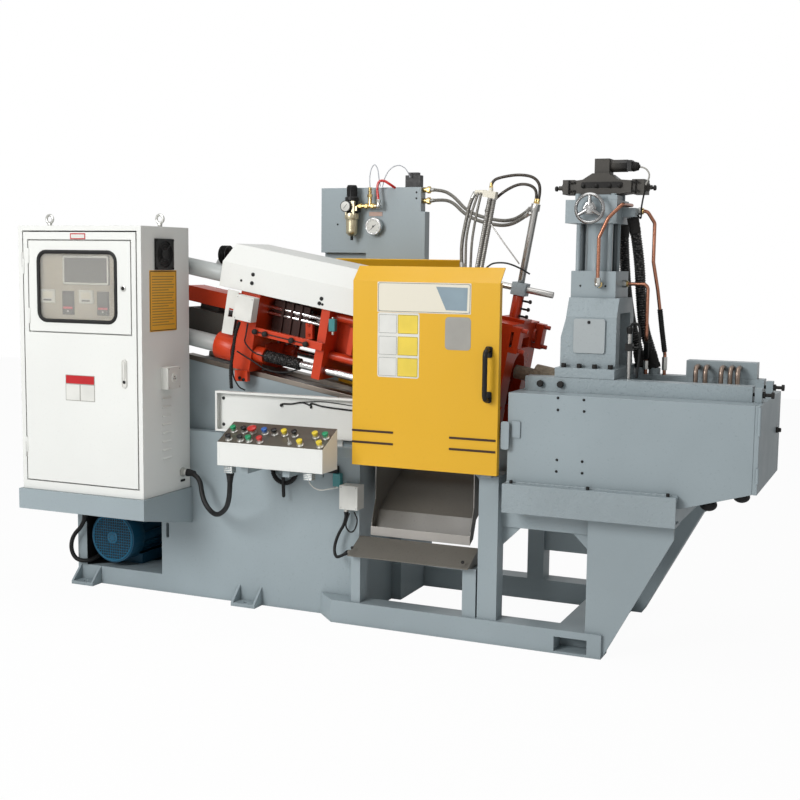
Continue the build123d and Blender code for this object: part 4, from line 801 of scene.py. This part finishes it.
def cabinet_side_details():
    fan = piece("fan_grille", black_plastic, "plastic_black", 0)
    hub = Vector((-89, -354, 1407))
    for radius in (14, 24, 34, 44, 53):
        fan.ring(hub + WEST, EAST, radius, 1.3, 0, 40, 8)
    for near, far in zip(spread(hub + WEST, 4, 10, 45, BACK), spread(hub + WEST, 4, 56, 45, BACK)):
        fan.rod(near, far, 1.5)
    fan.lathe([(0, 15), (2, 15), (3, 12)], hub + WEST * 4, EAST)
    for y in (-408, -300):
        for z in (1353, 1461):
            fan.cap_screw((-89, y, z), EAST, 4, 3)
    plate = piece("side_plate", [ochre_paint, iron, shaded_ochre], "guard_paint", 0.0002)
    base = Vector((SIDE_X, -358, 1226.5))
    face = base + EAST * 1.2
    plate.panel(base, 184, 237, 1.2, 3, 0, BACK)
    plate.rim(face, 176, 229, 3, 3, 0.8, 1, BACK)
    for k in range(19):
        shorter = 40 if k % 6 == 5 else 8 * (k % 3)
        row = face + BACK * (-shorter / 2) + UP * (94 - 10.4 * k)
        plate.panel(row, 152 - shorter, 3.2, 0.25, 1, 2, BACK)
    socket = piece("side_socket_face", [black_plastic, white_plastic, zinc], "plastic_white", 0.0003)
    socket.panel((SIDE_X, -230, 494), 34, 10, 0.8, 4.9, 0, BACK)
    socket.lathe([(0, 20), (3, 20), (4, 17), (4, 12), (1, 11)], (-64, -336, 923), EAST, 1)
    for y in (-372, -300):
        for z in (887, 959):
            socket.dome((-64, y, z), EAST, 3.4, 2)
    for at in spread((-62.9, -336, 923), 3, 6, 90, BACK):
        socket.lathe([(0, 2.6), (0.6, 2.6)], at, EAST, 0, 12)
    gland = piece("side_gland", zinc, "steel_ground", 0.0008)
    gland.hexagon((-98, -235, 529), (-88, -235, 529), 34)
    gland.lathe([(0, 16), (3, 17), (12, 16), (15, 12)], (-88, -235, 529), EAST)


def control_box_details():
    plate = piece("button_plate", button_panel, "plastic_black", 0.0004)
    middle = PANEL_LOW + PANEL_UP * (PANEL_DEPTH / 2) + EAST * 440
    plate.panel(middle, 434, 128, 1.2, 3, up=PANEL_UP)
    for x in (-207, 207):
        for y in (-56, 56):
            plate.dome(middle + PANEL_OUT * 1.2 + EAST * x + PANEL_UP * y, PANEL_OUT, 3)
    toggle = piece("toggle_bezel", zinc, "button_mix", 0.0003)
    base = PANEL_LOW + PANEL_UP * (0.13 * PANEL_DEPTH) + EAST * 520
    toggle.lathe([(0, 9), (3, 9), (4, 7.5)], base + PANEL_OUT * 1.2, PANEL_OUT)
    for name, x in (("left", 258.5), ("right", 597.5)):
        gland = piece(f"box_gland_{name}", zinc, "steel_ground", 0.0006)
        for k in range(4):
            gland.rim((x, -450, 591 + 6.5 * k), 36, 31, 3, 2.4, 1.6, up=BACK)
    seam = piece("box_front_seam", white_paint, "cabinet_paint", 0)
    seam.rim((440, -475, 662), 426, 78, 3, 1.6, 0.8)


def tray_details():
    screws("tray_screws", [(69, TRAY_WALL_Y, 836), (69, TRAY_WALL_Y, 730)], FRONT, 7)
    wires = piece("tray_wires", rubber, "cable_black", 0)
    thick = ((335, 822), (342, 828), (380, 830), (427, 838), (463, 829), (469, 837), (523, 827), (634, 820),
             (700, 818))
    thin = ((427, 840), (520, 846), (640, 838), (700, 834))
    wires.bent([(x, TRAY_WALL_Y - 3.5, z) for x, z in thick], 3.2)
    wires.bent([(x, TRAY_WALL_Y - 3, z) for x, z in thin], 1.6)
    wires.ball((335, TRAY_WALL_Y - 4, 822), 6.5)
    wires.ball((466, TRAY_WALL_Y - 4, 824), 5.5, 0, (0.8, 0.8, 1.4))
    screws("tray_studs", [(210, -205, 867), (590, -205, 867)], UP, 4, zinc, "steel_ground")


def guard_details():
    sign = piece("guard_sign", [sign_cream, iron, label_blue, zinc], "guard_paint", 0.0002, "front_guard")
    sign.panel((987, GUARD_Y, 1262), 364, 110, 1.0, 3)
    sign.rim((987, GUARD_Y - 1, 1262), 356, 102, 3, 1.6, 0.5, 1)
    blue_field = ((1035, 1303), (1156, 1301), (1154, 1219), (1074, 1220))
    sign.prism([(x, GUARD_Y - 1, z) for x, z in blue_field], FRONT * 0.4, 2)
    for x in (812, 1162):
        for z in (1214, 1310):
            sign.dome((x, GUARD_Y - 1, z), FRONT, 3, 3)
    sheet = piece("guard_sheet", [white_plastic, label_yellow, iron], "plastic_white", 0.0001, "front_guard")
    sheet.panel((889.5, GUARD_Y, 1087.5), 165, 237, 0.6, 8)
    for z in (1164.5, 1085.5, 1008):
        for x, width, color in ((847.5, 73, 0), (927, 80, 1)):
            sheet.panel((x, GUARD_Y - 0.6, z), width, 69, 0.3, 2, color)
            sheet.rim((x, GUARD_Y - 0.9, z), width - 3, 66, 2, 1.0, 0.3, 2)
    pane = piece("guard_window_pane", label_grey, "plastic_white", 0.0002, "front_guard")
    pane.panel((1121, GUARD_Y, 1137.5), 98, 117, 0.8, 14)
    stripes = piece("guard_stripes", stripe_brown, "plastic_black", 0.0004, "front_guard")
    for x, width, z in ((789.5, 167, 765), (789.5, 167, 722), (1182.5, 177, 762), (1182.5, 177, 721)):
        stripes.panel((x, GUARD_Y, z), width, 8, 2.2, 2)
    ends = piece("guard_handle_ends", black_plastic, "plastic_black", 0.001, "front_guard")
    for z, screw_z in ((916, 904), (1077, 1089)):
        ends.panel((1240, GUARD_Y, z), 26, 40, 5, 7)
        ends.cap_screw((1240, GUARD_Y - 5, screw_z), FRONT, 4, 3)


def furnace_details():
    face_screws = ((1485, 924), (1578, 922), (1486, 882), (1580, 882), (1487, 705), (1578, 706), (1486, 664),
                   (1579, 665))
    screws("furnace_screws", [(x, FURNACE_Y, z) for x, z in face_screws], FRONT, 5)
    studs = piece("ledge_studs", iron, "dark_iron", 0.0004)
    for x in (1327, 1606, 1884):
        studs.cap_screw((x, -303, 612), UP, 6, 11)
    bead = piece("ledge_weld", grey_paint, "machine_paint", 0)
    line = evenly([(1303, -284, 612), (1500, -284, 613), (1700, -284, 612), (1912, -284, 612)], 4)
    bead.tube(line, [4.2 + 0.9 * math.sin(i * 0.9) + 0.5 * math.sin(i * 2.3) for i in range(len(line))])
    hinges = piece("furnace_hinges", grey_paint, "machine_paint", 0.0005)
    for low, high in ((835, 930), (676, 728)):
        hinges.rod((2171, FURNACE_Y - 4, low), (2171, FURNACE_Y - 4, high), 5.5)
        for share in (0.33, 0.67):
            hinges.ring((2171, FURNACE_Y - 4, low + (high - low) * share), UP, 5.5, 0.6)
    latch = piece("furnace_latch", iron, "dark_iron", 0.0005, "furnace_door")
    latch.lathe([(0, 11), (6, 11), (8, 8), (16, 8), (18, 6)], (2171, 179, 801), EAST)
    plates = piece("furnace_plates", grey_paint, "machine_paint", 0.0008)
    plates.panel((1299.5, -300, 781.5), 31, 101, 3, 10)
    plates.panel((1335, FURNACE_Y, 803.5), 32, 59, 6, 2)
    pads = piece("furnace_pads", rubber, "rubber_black", 0)
    pads.ball((1995, -150, 568), 30, 0, (1, 1, 0.75))
    pads.ball((2105, -150, 606), 29, 0, (1, 1, 0.75))


def clamp_blocks():
    """Blocks at the furnace end with the screws that press on the casting."""
    for name, y in (("near", -165), ("far", 123)):
        block = piece(f"clamp_block_{name}", [grey_paint, iron], "machine_paint", 0.001)
        block.box((2138, y - 17, 934), (2162, y + 17, 982), 0)
        block.rod((2130, y, 960), (2196, y, 960), 6, 1)
        for low, high in ((2162, 2171), (2190, 2200)):
            block.hexagon((low, y, 960), (high, y, 960), 20, 1)
    knobs = piece("beam_front_screws", iron, "dark_iron", 0.0004)
    for x in (1390, 1465):
        knobs.lathe([(0, 8), (5, 8), (6, 12), (15, 12), (18, 9)], (x, -176, 962), FRONT)


def cover_details():
    screws("cover_screws",
           [(200, COVER_Y, 1332), (195, COVER_Y, 1298), (503, COVER_Y, 1244), (494, COVER_Y, 1226)], FRONT, 8)
    screws("cover_small_screws", [(146, COVER_Y, 1308), (507, COVER_Y, 1222)], FRONT, 5)
    knob = piece("cover_knob", [black_plastic, chrome], "plastic_black", 0.0006)
    knob_at = (50, -100, 1408)
    ribs = [(0, 34), (2, 38)]
    for along in (6, 13, 20, 27):
        ribs += [(along, 38), (along + 1, 31), (along + 4, 31), (along + 5, 38)]
    knob.lathe(ribs + [(34, 38), (37, 33), (37, 20), (32, 18)], knob_at, WEST, 0)
    knob.lathe([(32, 14), (39, 13), (40, 9)], knob_at, WEST, 1)
    foot = piece("tail_foot_screws", [iron, orange_paint], "dark_iron", 0)
    foot.box((112, -171, 906), (170, -150, 950), 1)
    for x, z in ((136, 919), (153, 913)):
        foot.dome((x, -172, z), FRONT, 7)
    bar = piece("stop_bar_screws", iron, "dark_iron", 0.0005, "moving_platen")
    for x, z in ((218, 1108), (263, 1100), (381, 1079), (444, 1067)):
        bar.lathe([(0, 7), (4, 7), (5, 11), (13, 11), (17, 8), (19, 4)], (x, -187, z), FRONT)
    bar.rod((230, -188.5, 1106), (436, -188.5, 1069), 2.2)
    block = piece("stop_block", orange_paint, "orange_paint", 0.001)
    block.box((384, -80, 1079), (414, -60, 1151))
    for z in (1096, 1134):
        block.cap_screw((399, -80, z), FRONT, 6, 5)


def wires_and_switches():
    switch = piece("platen_switch", [teal_plastic, zinc], "plastic_black", 0.0015, "moving_platen")
    switch.box((540, -188, 1120), (566, -165, 1168), 0)
    switch.rod((553, -176, 1120), (553, -176, 1106), 5, 1)
    switch.lathe([(0, 5), (5, 5), (7, 3)], (553, -176, 1168), UP, 1)
    low_switch = piece("chute_switch", [teal_plastic, zinc], "plastic_black", 0.0015)
    low_switch.box((570, -205, 521), (602, -180, 571), 0)
    low_switch.lathe([(0, 9), (6, 9), (8, 6)], (586, -192, 521), DOWN, 1)
    wires = piece("clamp_wires", rubber, "cable_black", 0)
    wires.ribbed([(162, -215, 1146), (152, -230, 1098), (144, -236, 1031), (131, -232, 958),
                  (117, -205, 880)], 6.5, 7, 0.9)
    for points in (
        [(162, -215, 1146), (150, -232, 1098), (139, -234, 1031), (126, -222, 958), (117, -196, 880)],
        [(196, -210, 1141), (188, -212, 1093), (182, -206, 1064), (218, -200, 1027), (273, -190, 1008)],
        [(118, -200, 979), (123, -200, 931), (146, -196, 888), (171, -188, 873)],
        [(138, -196, 1028), (205, -190, 992), (271, -187, 959), (352, -187, 953), (411, -187, 968)],
    ):
        wires.bent(points, 3.0)
    pale = piece("pale_cable", white_plastic, "plastic_white", 0)
    pale.bent([(472, -215, 617), (476, -225, 548), (493, -228, 519), (526, -224, 506), (567, -214, 513),
               (586, -196, 516)], 2.6)


def under_box_details():
    """Hose loop, rod and bracket under the control box, and the small boxes' screws and loop."""
    loop = piece("hose_loop", rubber, "rubber_black", 0.001)
    angles = [math.radians(a) for a in range(180, 361, 20)]
    loop.ribbed([(355 + 52 * math.cos(a), -200, 566 + 50 * math.sin(a)) for a in angles], 9, 7, 1.2)
    loop.rod((356, -212, 540), (360, -214, 467), 7)
    loop.ball((360, -214, 467), 7)
    loop.box((262, -196, 570), (585, -178, 598))
    low_places = [(x, -235, z) for x in (621, 684) for z in (448, 527)]
    screws("low_box_screws", low_places, FRONT, 3, zinc, "steel_ground")
    upper = piece("upper_box_screws", zinc, "steel_ground", 0, place=CLAMP_MM)
    for u in (-1168, -1102):
        for w in (10, 93):
            upper.dome((u, -235, w), FRONT, 3)
    thin = piece("low_box_loop", rubber, "cable_black", 0)
    thin.bent([(664, -205, 428), (680, -212, 398), (672, -218, 362), (652, -218, 352), (634, -216, 376),
               (645, -208, 424)], 3)
    screw = piece("drop_plate_screws", iron, "dark_iron", 0)
    screw.dome((1142, -283, 300), FRONT + UP, 7)
    screw.dome((690, -276, 306), FRONT + UP, 6)


def column_details():
    flange = piece("flange_screws", iron, "dark_iron", 0.0005)
    for x in (1465, 1522, 1578, 1635):
        for y in (-150, 150):
            flange.cap_screw((x, y, 1021), UP, 9, 15)
    screws("cover_plate_screw", [(1550, -137.8, 1184)], FRONT, 6)
    screws("block_screws", [(1499, -80, 1312), (1591, -80, 1312)], FRONT, 3.6)
    face = piece("cover_plate_face", plate_paint, "machine_paint", 0.0004)
    face.panel((1551.5, -137, 1135), 114, 122, 0.8, 8)
    sensor = piece("plunger_sensor", [steel, black_plastic], "steel_ground", 0.0005)
    sensor.rod((1690, -106, 986), (1690, -106, 1150), 7, 0)
    sensor.box((1678, -118, 1086), (1704, -94, 1112), 1)
    sensor.rod((1704, -106, 1099), (1718, -106, 1099), 4, 1)
    sensor.ball((1722, -106, 1099), 6, 1)
    sensor.lathe([(0, 8), (10, 11), (22, 11), (26, 7)], (1690, -106, 1146), UP, 1)
    sensor.bent([(1690, -106, 1168), (1704, -106, 1184), (1724, -104, 1168), (1726, -102, 1080),
                 (1718, -100, 990)], 4.5, 1)


def pipe_fittings():
    """Nuts, brass collars and sleeves on the copper pipes."""
    nuts = piece("pipe_nuts", [zinc, brass], "steel_ground", 0.0005)
    nuts.ball((1571, -115, 1318), 11, 0)
    for start, end, across in (
        ((1571, -80, 1318), (1571, -94, 1318), 24), ((1571, -115, 1322), (1571, -115, 1342), 20),
        ((1628, 30, 1320), (1642, 30, 1320), 24), ((1672, 50, 1582), (1686, 50, 1582), 24),
        ((1702, 122, 1036), (1702, 122, 1004), 18), ((1770, 126, 1052), (1770, 126, 1004), 18),
    ):
        nuts.hexagon(start, end, across, 0)
    nuts.lathe([(0, 12), (4, 12), (5, 10)], (1571, -94, 1318), FRONT, 1)
    nuts.lathe([(0, 11), (6, 11)], (1642, 30, 1320), EAST, 1)
    nuts.lathe([(0, 11), (5, 11)], (1686, 50, 1582), EAST, 1)
    sleeves = piece("pipe_sleeves", rubber, "rubber_black", 0)
    sleeves.ribbed([(1752, 97, 1228), (1760, 110, 1150), (1769, 124, 1072)], 9.5, 8, 0.8)
    sleeves.ribbed([(1719, 40, 1116), (1711, 78, 1080), (1704, 112, 1048)], 9.5, 8, 0.8)


def valve_details():
    knobs = piece("valve_knobs", iron, "dark_iron", 0.0005)
    for x, out in ((1388, WEST), (1729, EAST)):
        knobs.lathe([(0, 5), (5, 5), (6, 9.5), (13, 9.5), (15, 7)], (x, 0, 1662), out)
    knobs.lathe([(0, 9), (8, 9), (10, 7)], (1530, 0, 1742), WEST)
    for x in (1444, 1460, 1672, 1688):
        for z in (1650, 1680):
            knobs.cap_screw((x, -52, z), FRONT, 4.5, 5)
    knobs.panel((1560, -52, 1672), 150, 20, 3, 6)
    for x in (1492, 1540, 1588, 1624):
        knobs.ball((x, -56, 1668), 8)
    for x in (1437, 1680):
        knobs.box((x - 1.2, -53, 1640), (x + 1.2, 53, 1690))
    knobs.lathe([(0, 17), (16, 15), (20, 9), (26, 6)], (1658, 0, 1738), EAST)
    for k in range(5):
        knobs.ring((1661 + 4 * k, 0, 1738), EAST, 17 - k, 1.6)
    block = piece("head_screws", grey_paint, "machine_paint", 0.0006)
    for x in (1478, 1608):
        for y in (-66, 66):
            block.cap_screw((x, y, 1618), UP, 10, 22)
    block.box((1590, -78, 1618), (1624, -56, 1634))
    rods = piece("cylinder_inner_rods", shadow_grey, "machine_paint", 0)
    for x in (1468, 1590):
        rods.rod((x, 46, 1362), (x, 46, 1541), 8.5)
    wires = piece("valve_wires", [label_grey, rubber], "cable_black", 0)
    upper = [(1682, 0, 1737), (1704, -6, 1730), (1720, -18, 1712), (1722, -30, 1692), (1714, -40, 1670)]
    lower = [(1714, -40, 1652), (1708, -38, 1632), (1700, -30, 1592), (1694, -8, 1556), (1676, 20, 1566)]
    wires.bent(upper, 3, 0)
    wires.bent(lower, 3, 1)


def handwheel_details():
    hub = piece("handwheel_hub", [wheel_chrome, iron], "chrome", 0.0006, "handwheel")
    wheel = Vector((1535, -121, 1586))
    for at in spread(wheel, 12, 48):
        hub.ball(at, 5, 0, (1, 0.6, 1))
    hub.lathe([(0, 17), (5, 15), (7, 9), (5, 6)], wheel + BACK * 2, FRONT, 0)
    hub.rod(wheel + FRONT * 4, wheel + FRONT * 5.5, 4.5, 1)
    hub.lathe([(0, 26), (3, 24), (4, 17)], wheel + BACK * 4, FRONT, 0, 6)
    hub.ring(wheel, FRONT, 49, 4.5)
    for near, far in zip(spread(wheel, 3, 10, 90), spread(wheel, 3, 46, 90)):
        hub.rod(near, far, 8, 0, 6)


def spray_details():
    posts = piece("spray_post_covers", steel_braid, "braid", 0, place=CLAMP_MM)
    for u in (-287, -270):
        posts.ribbed([(u, SPRAY_POST_V, w) for w in (348, 500, 634)], 8.4, 7, 0.5)
    pipes = piece("spray_small_pipes", [steel_braid, steel, rubber], "braid", 0)
    pipes.bent([(1096, -30, 1650), (1078, -34, 1560), (1064, -34, 1470), (1058, -30, 1372)], 5, 0)
    pipes.bent([(1084, -30, 1650), (1060, -36, 1570), (1042, -36, 1480), (1038, -30, 1372)], 5, 0)
    pipes.tube([(1131, -26, 1538), (1190, -26, 1461), (1247, -18, 1387)], 2.6, 1)
    pipes.bent([(1120, -24, 1372), (1150, -28, 1388), (1200, -30, 1389), (1249, -30, 1373),
                (1290, -22, 1350)], 3.2, 2)
    knobs = piece("spray_knobs", iron, "dark_iron", 0.0004)
    for x, z in ((1283, 1246), (1276, 1217), (1270, 1190)):
        knobs.rod((x - 22, -12, z + 4), (x + 6, -12, z - 1), 4)
        knobs.lathe([(0, 7.5), (7, 7.5), (9, 5)], (x + 4, -12, z), EAST)


def gauge_details():
    gauge = piece("air_gauges", [black_plastic, white_plastic, chrome], "plastic_white", 0.0003)
    small = (344, 356, 1620)
    gauge.lathe([(0, 24), (3, 24), (3.5, 21)], small, FRONT, 0)
    gauge.lathe([(3.5, 21), (3.9, 20)], small, FRONT, 1)
    gauge.box((343.2, 351.2, 1608), (344.8, 351.9, 1632), 0, Matrix.Rotation(math.radians(40), 4, "Y"))
    large = Vector((454, 402, 1537))
    gauge.lathe([(0, 36), (3, 37), (5, 35), (5, 30), (2, 29)], large, FRONT, 2)
    gauge.lathe([(0.5, 29), (2.5, 29)], large, FRONT, 1)
    gauge.box((453, 399, 1518), (455, 399.6, 1550), 0, Matrix.Rotation(math.radians(48), 4, "Y"))
    gauge.lathe([(2.5, 4), (4, 4)], large, FRONT, 0, 16)
    for k in range(9):
        x, z = circle(1, 24, 33.75 * k - 45)[0]
        gauge.lathe([(0, 1.3), (0.6, 1.3)], large + FRONT * 2.5 + EAST * x + UP * z, FRONT, 0, 8)


def air_unit_details():
    plate = piece("air_plate", pink_plate, "plastic_white", 0.0003)
    plate.panel((453, 430, 1590), 62, 18, 1.5, 2)
    fittings = piece("air_fittings", [brass, zinc], "steel_ground", 0.0005)
    for x in (398, 428, 456):
        fittings.hexagon((x - 6, 392, 1622), (x + 6, 392, 1622), 22)
    fittings.hexagon((442, 392, 1660), (442, 392, 1672), 20)
    fittings.rod((442, 392, 1672), (442, 392, 1700), 6.5)
    for z in (1678, 1685, 1692, 1699):
        fittings.ring((442, 392, z), UP, 7.5, 1.6)
    fittings.ball((481, 392, 1622), 11, 1)
    fittings.hexagon((481, 392, 1636), (481, 392, 1648), 18, 1)
    for z in (1691, 1645):
        fittings.hexagon((681, 455, z), (694, 455, z), 26)
    body = piece("regulator_body", [black_plastic, golden_bowl], "plastic_black", 0.003)
    body.box((336, 366, 1582), (380, 420, 1644), 1)
    body.box((326, 372, 1600), (390, 414, 1622), 1)
    body.lathe([(0, 27), (3, 30), (16, 30), (20, 25)], (357, 392, 1642), UP, 0)
    body.box((384, 376, 1596), (392, 408, 1612), 0)
    lines = piece("air_lines", tube_grey, "plastic_white", 0)
    lines.bent([(442, 392, 1698), (438, 396, 1740), (443, 400, 1778), (458, 402, 1796), (472, 402, 1776),
                (479, 402, 1735), (484, 404, 1705)], 2.2)
    lines.bent([(492, 408, 1702), (500, 410, 1735), (516, 411, 1766), (540, 412, 1786), (566, 413, 1792),
                (590, 414, 1782), (606, 416, 1762), (612, 424, 1742)], 2.2)
    grip = piece("regulator_grip", black_plastic, "plastic_black", 0)
    for at in spread((357, 392, 1664), 24, 21, up=BACK):
        grip.rod(at, at + UP * 40, 1.6, sides=8)
    hose = piece("red_hose", red_hose, "rubber_black", 0)
    hose.bent([(481, 392, 1648), (474, 396, 1690), (478, 400, 1722), (500, 404, 1728), (528, 412, 1712),
               (540, 432, 1700)], 5.5)
    screws("rear_box_screws", [(271, 430, 1546), (640, 430, 1680), (640, 430, 1655)], FRONT, 4)


def motor_details():
    grille = piece("motor_grille", [grille_blue, black_paint_and_bay_shade], "motor_blue", 0)
    middle = Vector((-497, -163, 203))
    mesh = middle + FRONT * 2.4
    grille.lathe([(0, 100), (1.2, 100)], middle, FRONT, 1, 48)
    for k in range(-8, 9):
        offset = k * 11.6
        half = math.sqrt(98 ** 2 - offset ** 2)
        for along, across in ((UP, EAST), (EAST, UP)):
            at = mesh + across * offset
            grille.rod(at - along * half, at + along * half, 1.7, sides=8)
    grille.ring(middle + FRONT, FRONT, 99, 3.4, 0, 48)
    grille.lathe([(0, 26), (3, 26), (5, 22)], middle + FRONT, FRONT)
    for at in spread(middle + FRONT * 6, 8, 15):
        grille.lathe([(0, 2.4), (1.0, 2.2)], at, FRONT, 1, 12)


def crosshead_housing():
    """Dark ribbed housing round the ram between the tail plate and the moving platen."""
    housing = piece("crosshead_housing", [shadow_orange, iron], "orange_paint", 0.002, place=CLAMP_MM)
    housing.box((-1086, -78, -66), (-925, 78, 92), 0)
    for u in (-1040, -1000, -960):
        housing.box((u - 5, -86, -74), (u + 5, 86, 100), 0)
    for v in (-60, 60):
        for w in (-48, 74):
            housing.cap_screw((-925, v, w), EAST, 7, 8, 1)
    housing.ring((-925, 0, 38), EAST, 34, 7, 0)


def bar_wrap():
    wrap = piece("bar_wrap", black_net_and_painted_glints, "rubber_black", 0, place=CLAMP_MM)
    wrap.ribbed([(-1060, -128, -129), (-980, -128, -129), (-905, -128, -129)], 22.5, 9, 1.6, across=20)


DETAILS = (
    cabinet_door_details, window_door_details, cabinet_side_details, control_box_details, tray_details,
    guard_details, furnace_details, clamp_blocks, cover_details, wires_and_switches, under_box_details,
    column_details, pipe_fittings, valve_details, handwheel_details, spray_details, gauge_details,
    air_unit_details, motor_details, crosshead_housing, bar_wrap,
)


def add_details():
    for region in DETAILS:
        region()
    for shape in PIECES:
        shape.build()


# Camera, lights and floor

WORLD_LEVEL = 0.25
GLOSSY_SHARE = 0.55
FLOOR_GLOW = 0.96

# Name, place, target, size in metres and power in watts.
LAMPS = (
    ("key", (-1.2, -5.2, 3.2), (0.7, 0.0, 0.8), 2.6, 204.0),
    ("fill", (4.2, -4.0, 1.6), (0.9, 0.0, 0.8), 2.4, 8.0),
    ("top", (0.8, -0.6, 4.8), (0.8, 0.0, 0.8), 3.0, 55.0),
)


def add_camera():
    data = bpy.data.cameras.new("camera")
    data.sensor_width = SENSOR
    data.lens = LENS
    data.clip_end = 50.0
    camera = bpy.data.objects.new("camera", data)
    turn = Matrix((CAMERA_RIGHT, CAMERA_UP, -CAMERA_FORWARD)).transposed().to_4x4()
    camera.matrix_world = Matrix.Translation(CAMERA_AT) @ turn
    bpy.context.scene.collection.objects.link(camera)
    bpy.context.scene.camera = camera


def add_lamp(name, at, target, size, power):
    data = bpy.data.lights.new(name, "AREA")
    data.shape = "DISK"
    data.size = size
    data.energy = power
    lamp = bpy.data.objects.new(name, data)
    lamp.location = at
    lamp.rotation_mode = "QUATERNION"
    lamp.rotation_quaternion = (Vector(target) - Vector(at)).to_track_quat("-Z", "Y")
    bpy.context.scene.collection.objects.link(lamp)


def add_world():
    """Plain soft light; the camera and reflections see a white backdrop."""
    world = bpy.data.worlds.new("studio")
    bpy.context.scene.world = world
    world.use_nodes = True
    tree = world.node_tree
    tree.nodes.clear()
    path = tree.nodes.new("ShaderNodeLightPath").outputs
    seen = math_node(tree, "MAXIMUM", path["Is Camera Ray"], path["Is Transmission Ray"])
    glossy = math_node(tree, "MULTIPLY", path["Is Glossy Ray"], GLOSSY_SHARE)
    level = tree.nodes.new("ShaderNodeMapRange")
    level.inputs["To Min"].default_value = WORLD_LEVEL
    put(tree, math_node(tree, "MAXIMUM", seen, glossy), level.inputs["Value"])
    background = tree.nodes.new("ShaderNodeBackground")
    background.inputs["Color"].default_value = (1.0, 1.0, 1.0, 1.0)
    put(tree, level.outputs[0], background.inputs["Strength"])
    put(tree, background.outputs[0], tree.nodes.new("ShaderNodeOutputWorld").inputs[0])


def add_floor():
    """Pale floor that keeps the object's shadow and is nearly white for the camera."""
    shape = Shape("floor", [], None, 0)
    shape.box((-9000, -7000, -20), (11000, 9000, 0))
    n = Nodes("pale_floor")
    drift = n.span(n.noise(3.0, 2.0), 0.0, 1.0)
    n.finish(Base_Color=n.blend(drift, (0.9, 0.9, 0.9), (0.93, 0.93, 0.93)), Roughness=0.8)
    path = n.add("ShaderNodeLightPath").outputs
    mix = n.add("ShaderNodeMixShader")
    put(n.tree, math_node(n.tree, "MULTIPLY", path["Is Camera Ray"], FLOOR_GLOW), mix.inputs[0])
    put(n.tree, n.shader.outputs[0], mix.inputs[1])
    put(n.tree, n.add("ShaderNodeEmission", Strength=1.0).outputs[0], mix.inputs[2])
    put(n.tree, mix.outputs[0], n.output.inputs[0])
    shape.materials = [n.material]
    floor = shape.build()
    floor.parent = None


bpy.context.scene.view_settings.view_transform = "Standard"
add_camera()
add_floor()
add_world()
for lamp in LAMPS:
    add_lamp(*lamp)
dress_nodes()
add_cords()
add_details()
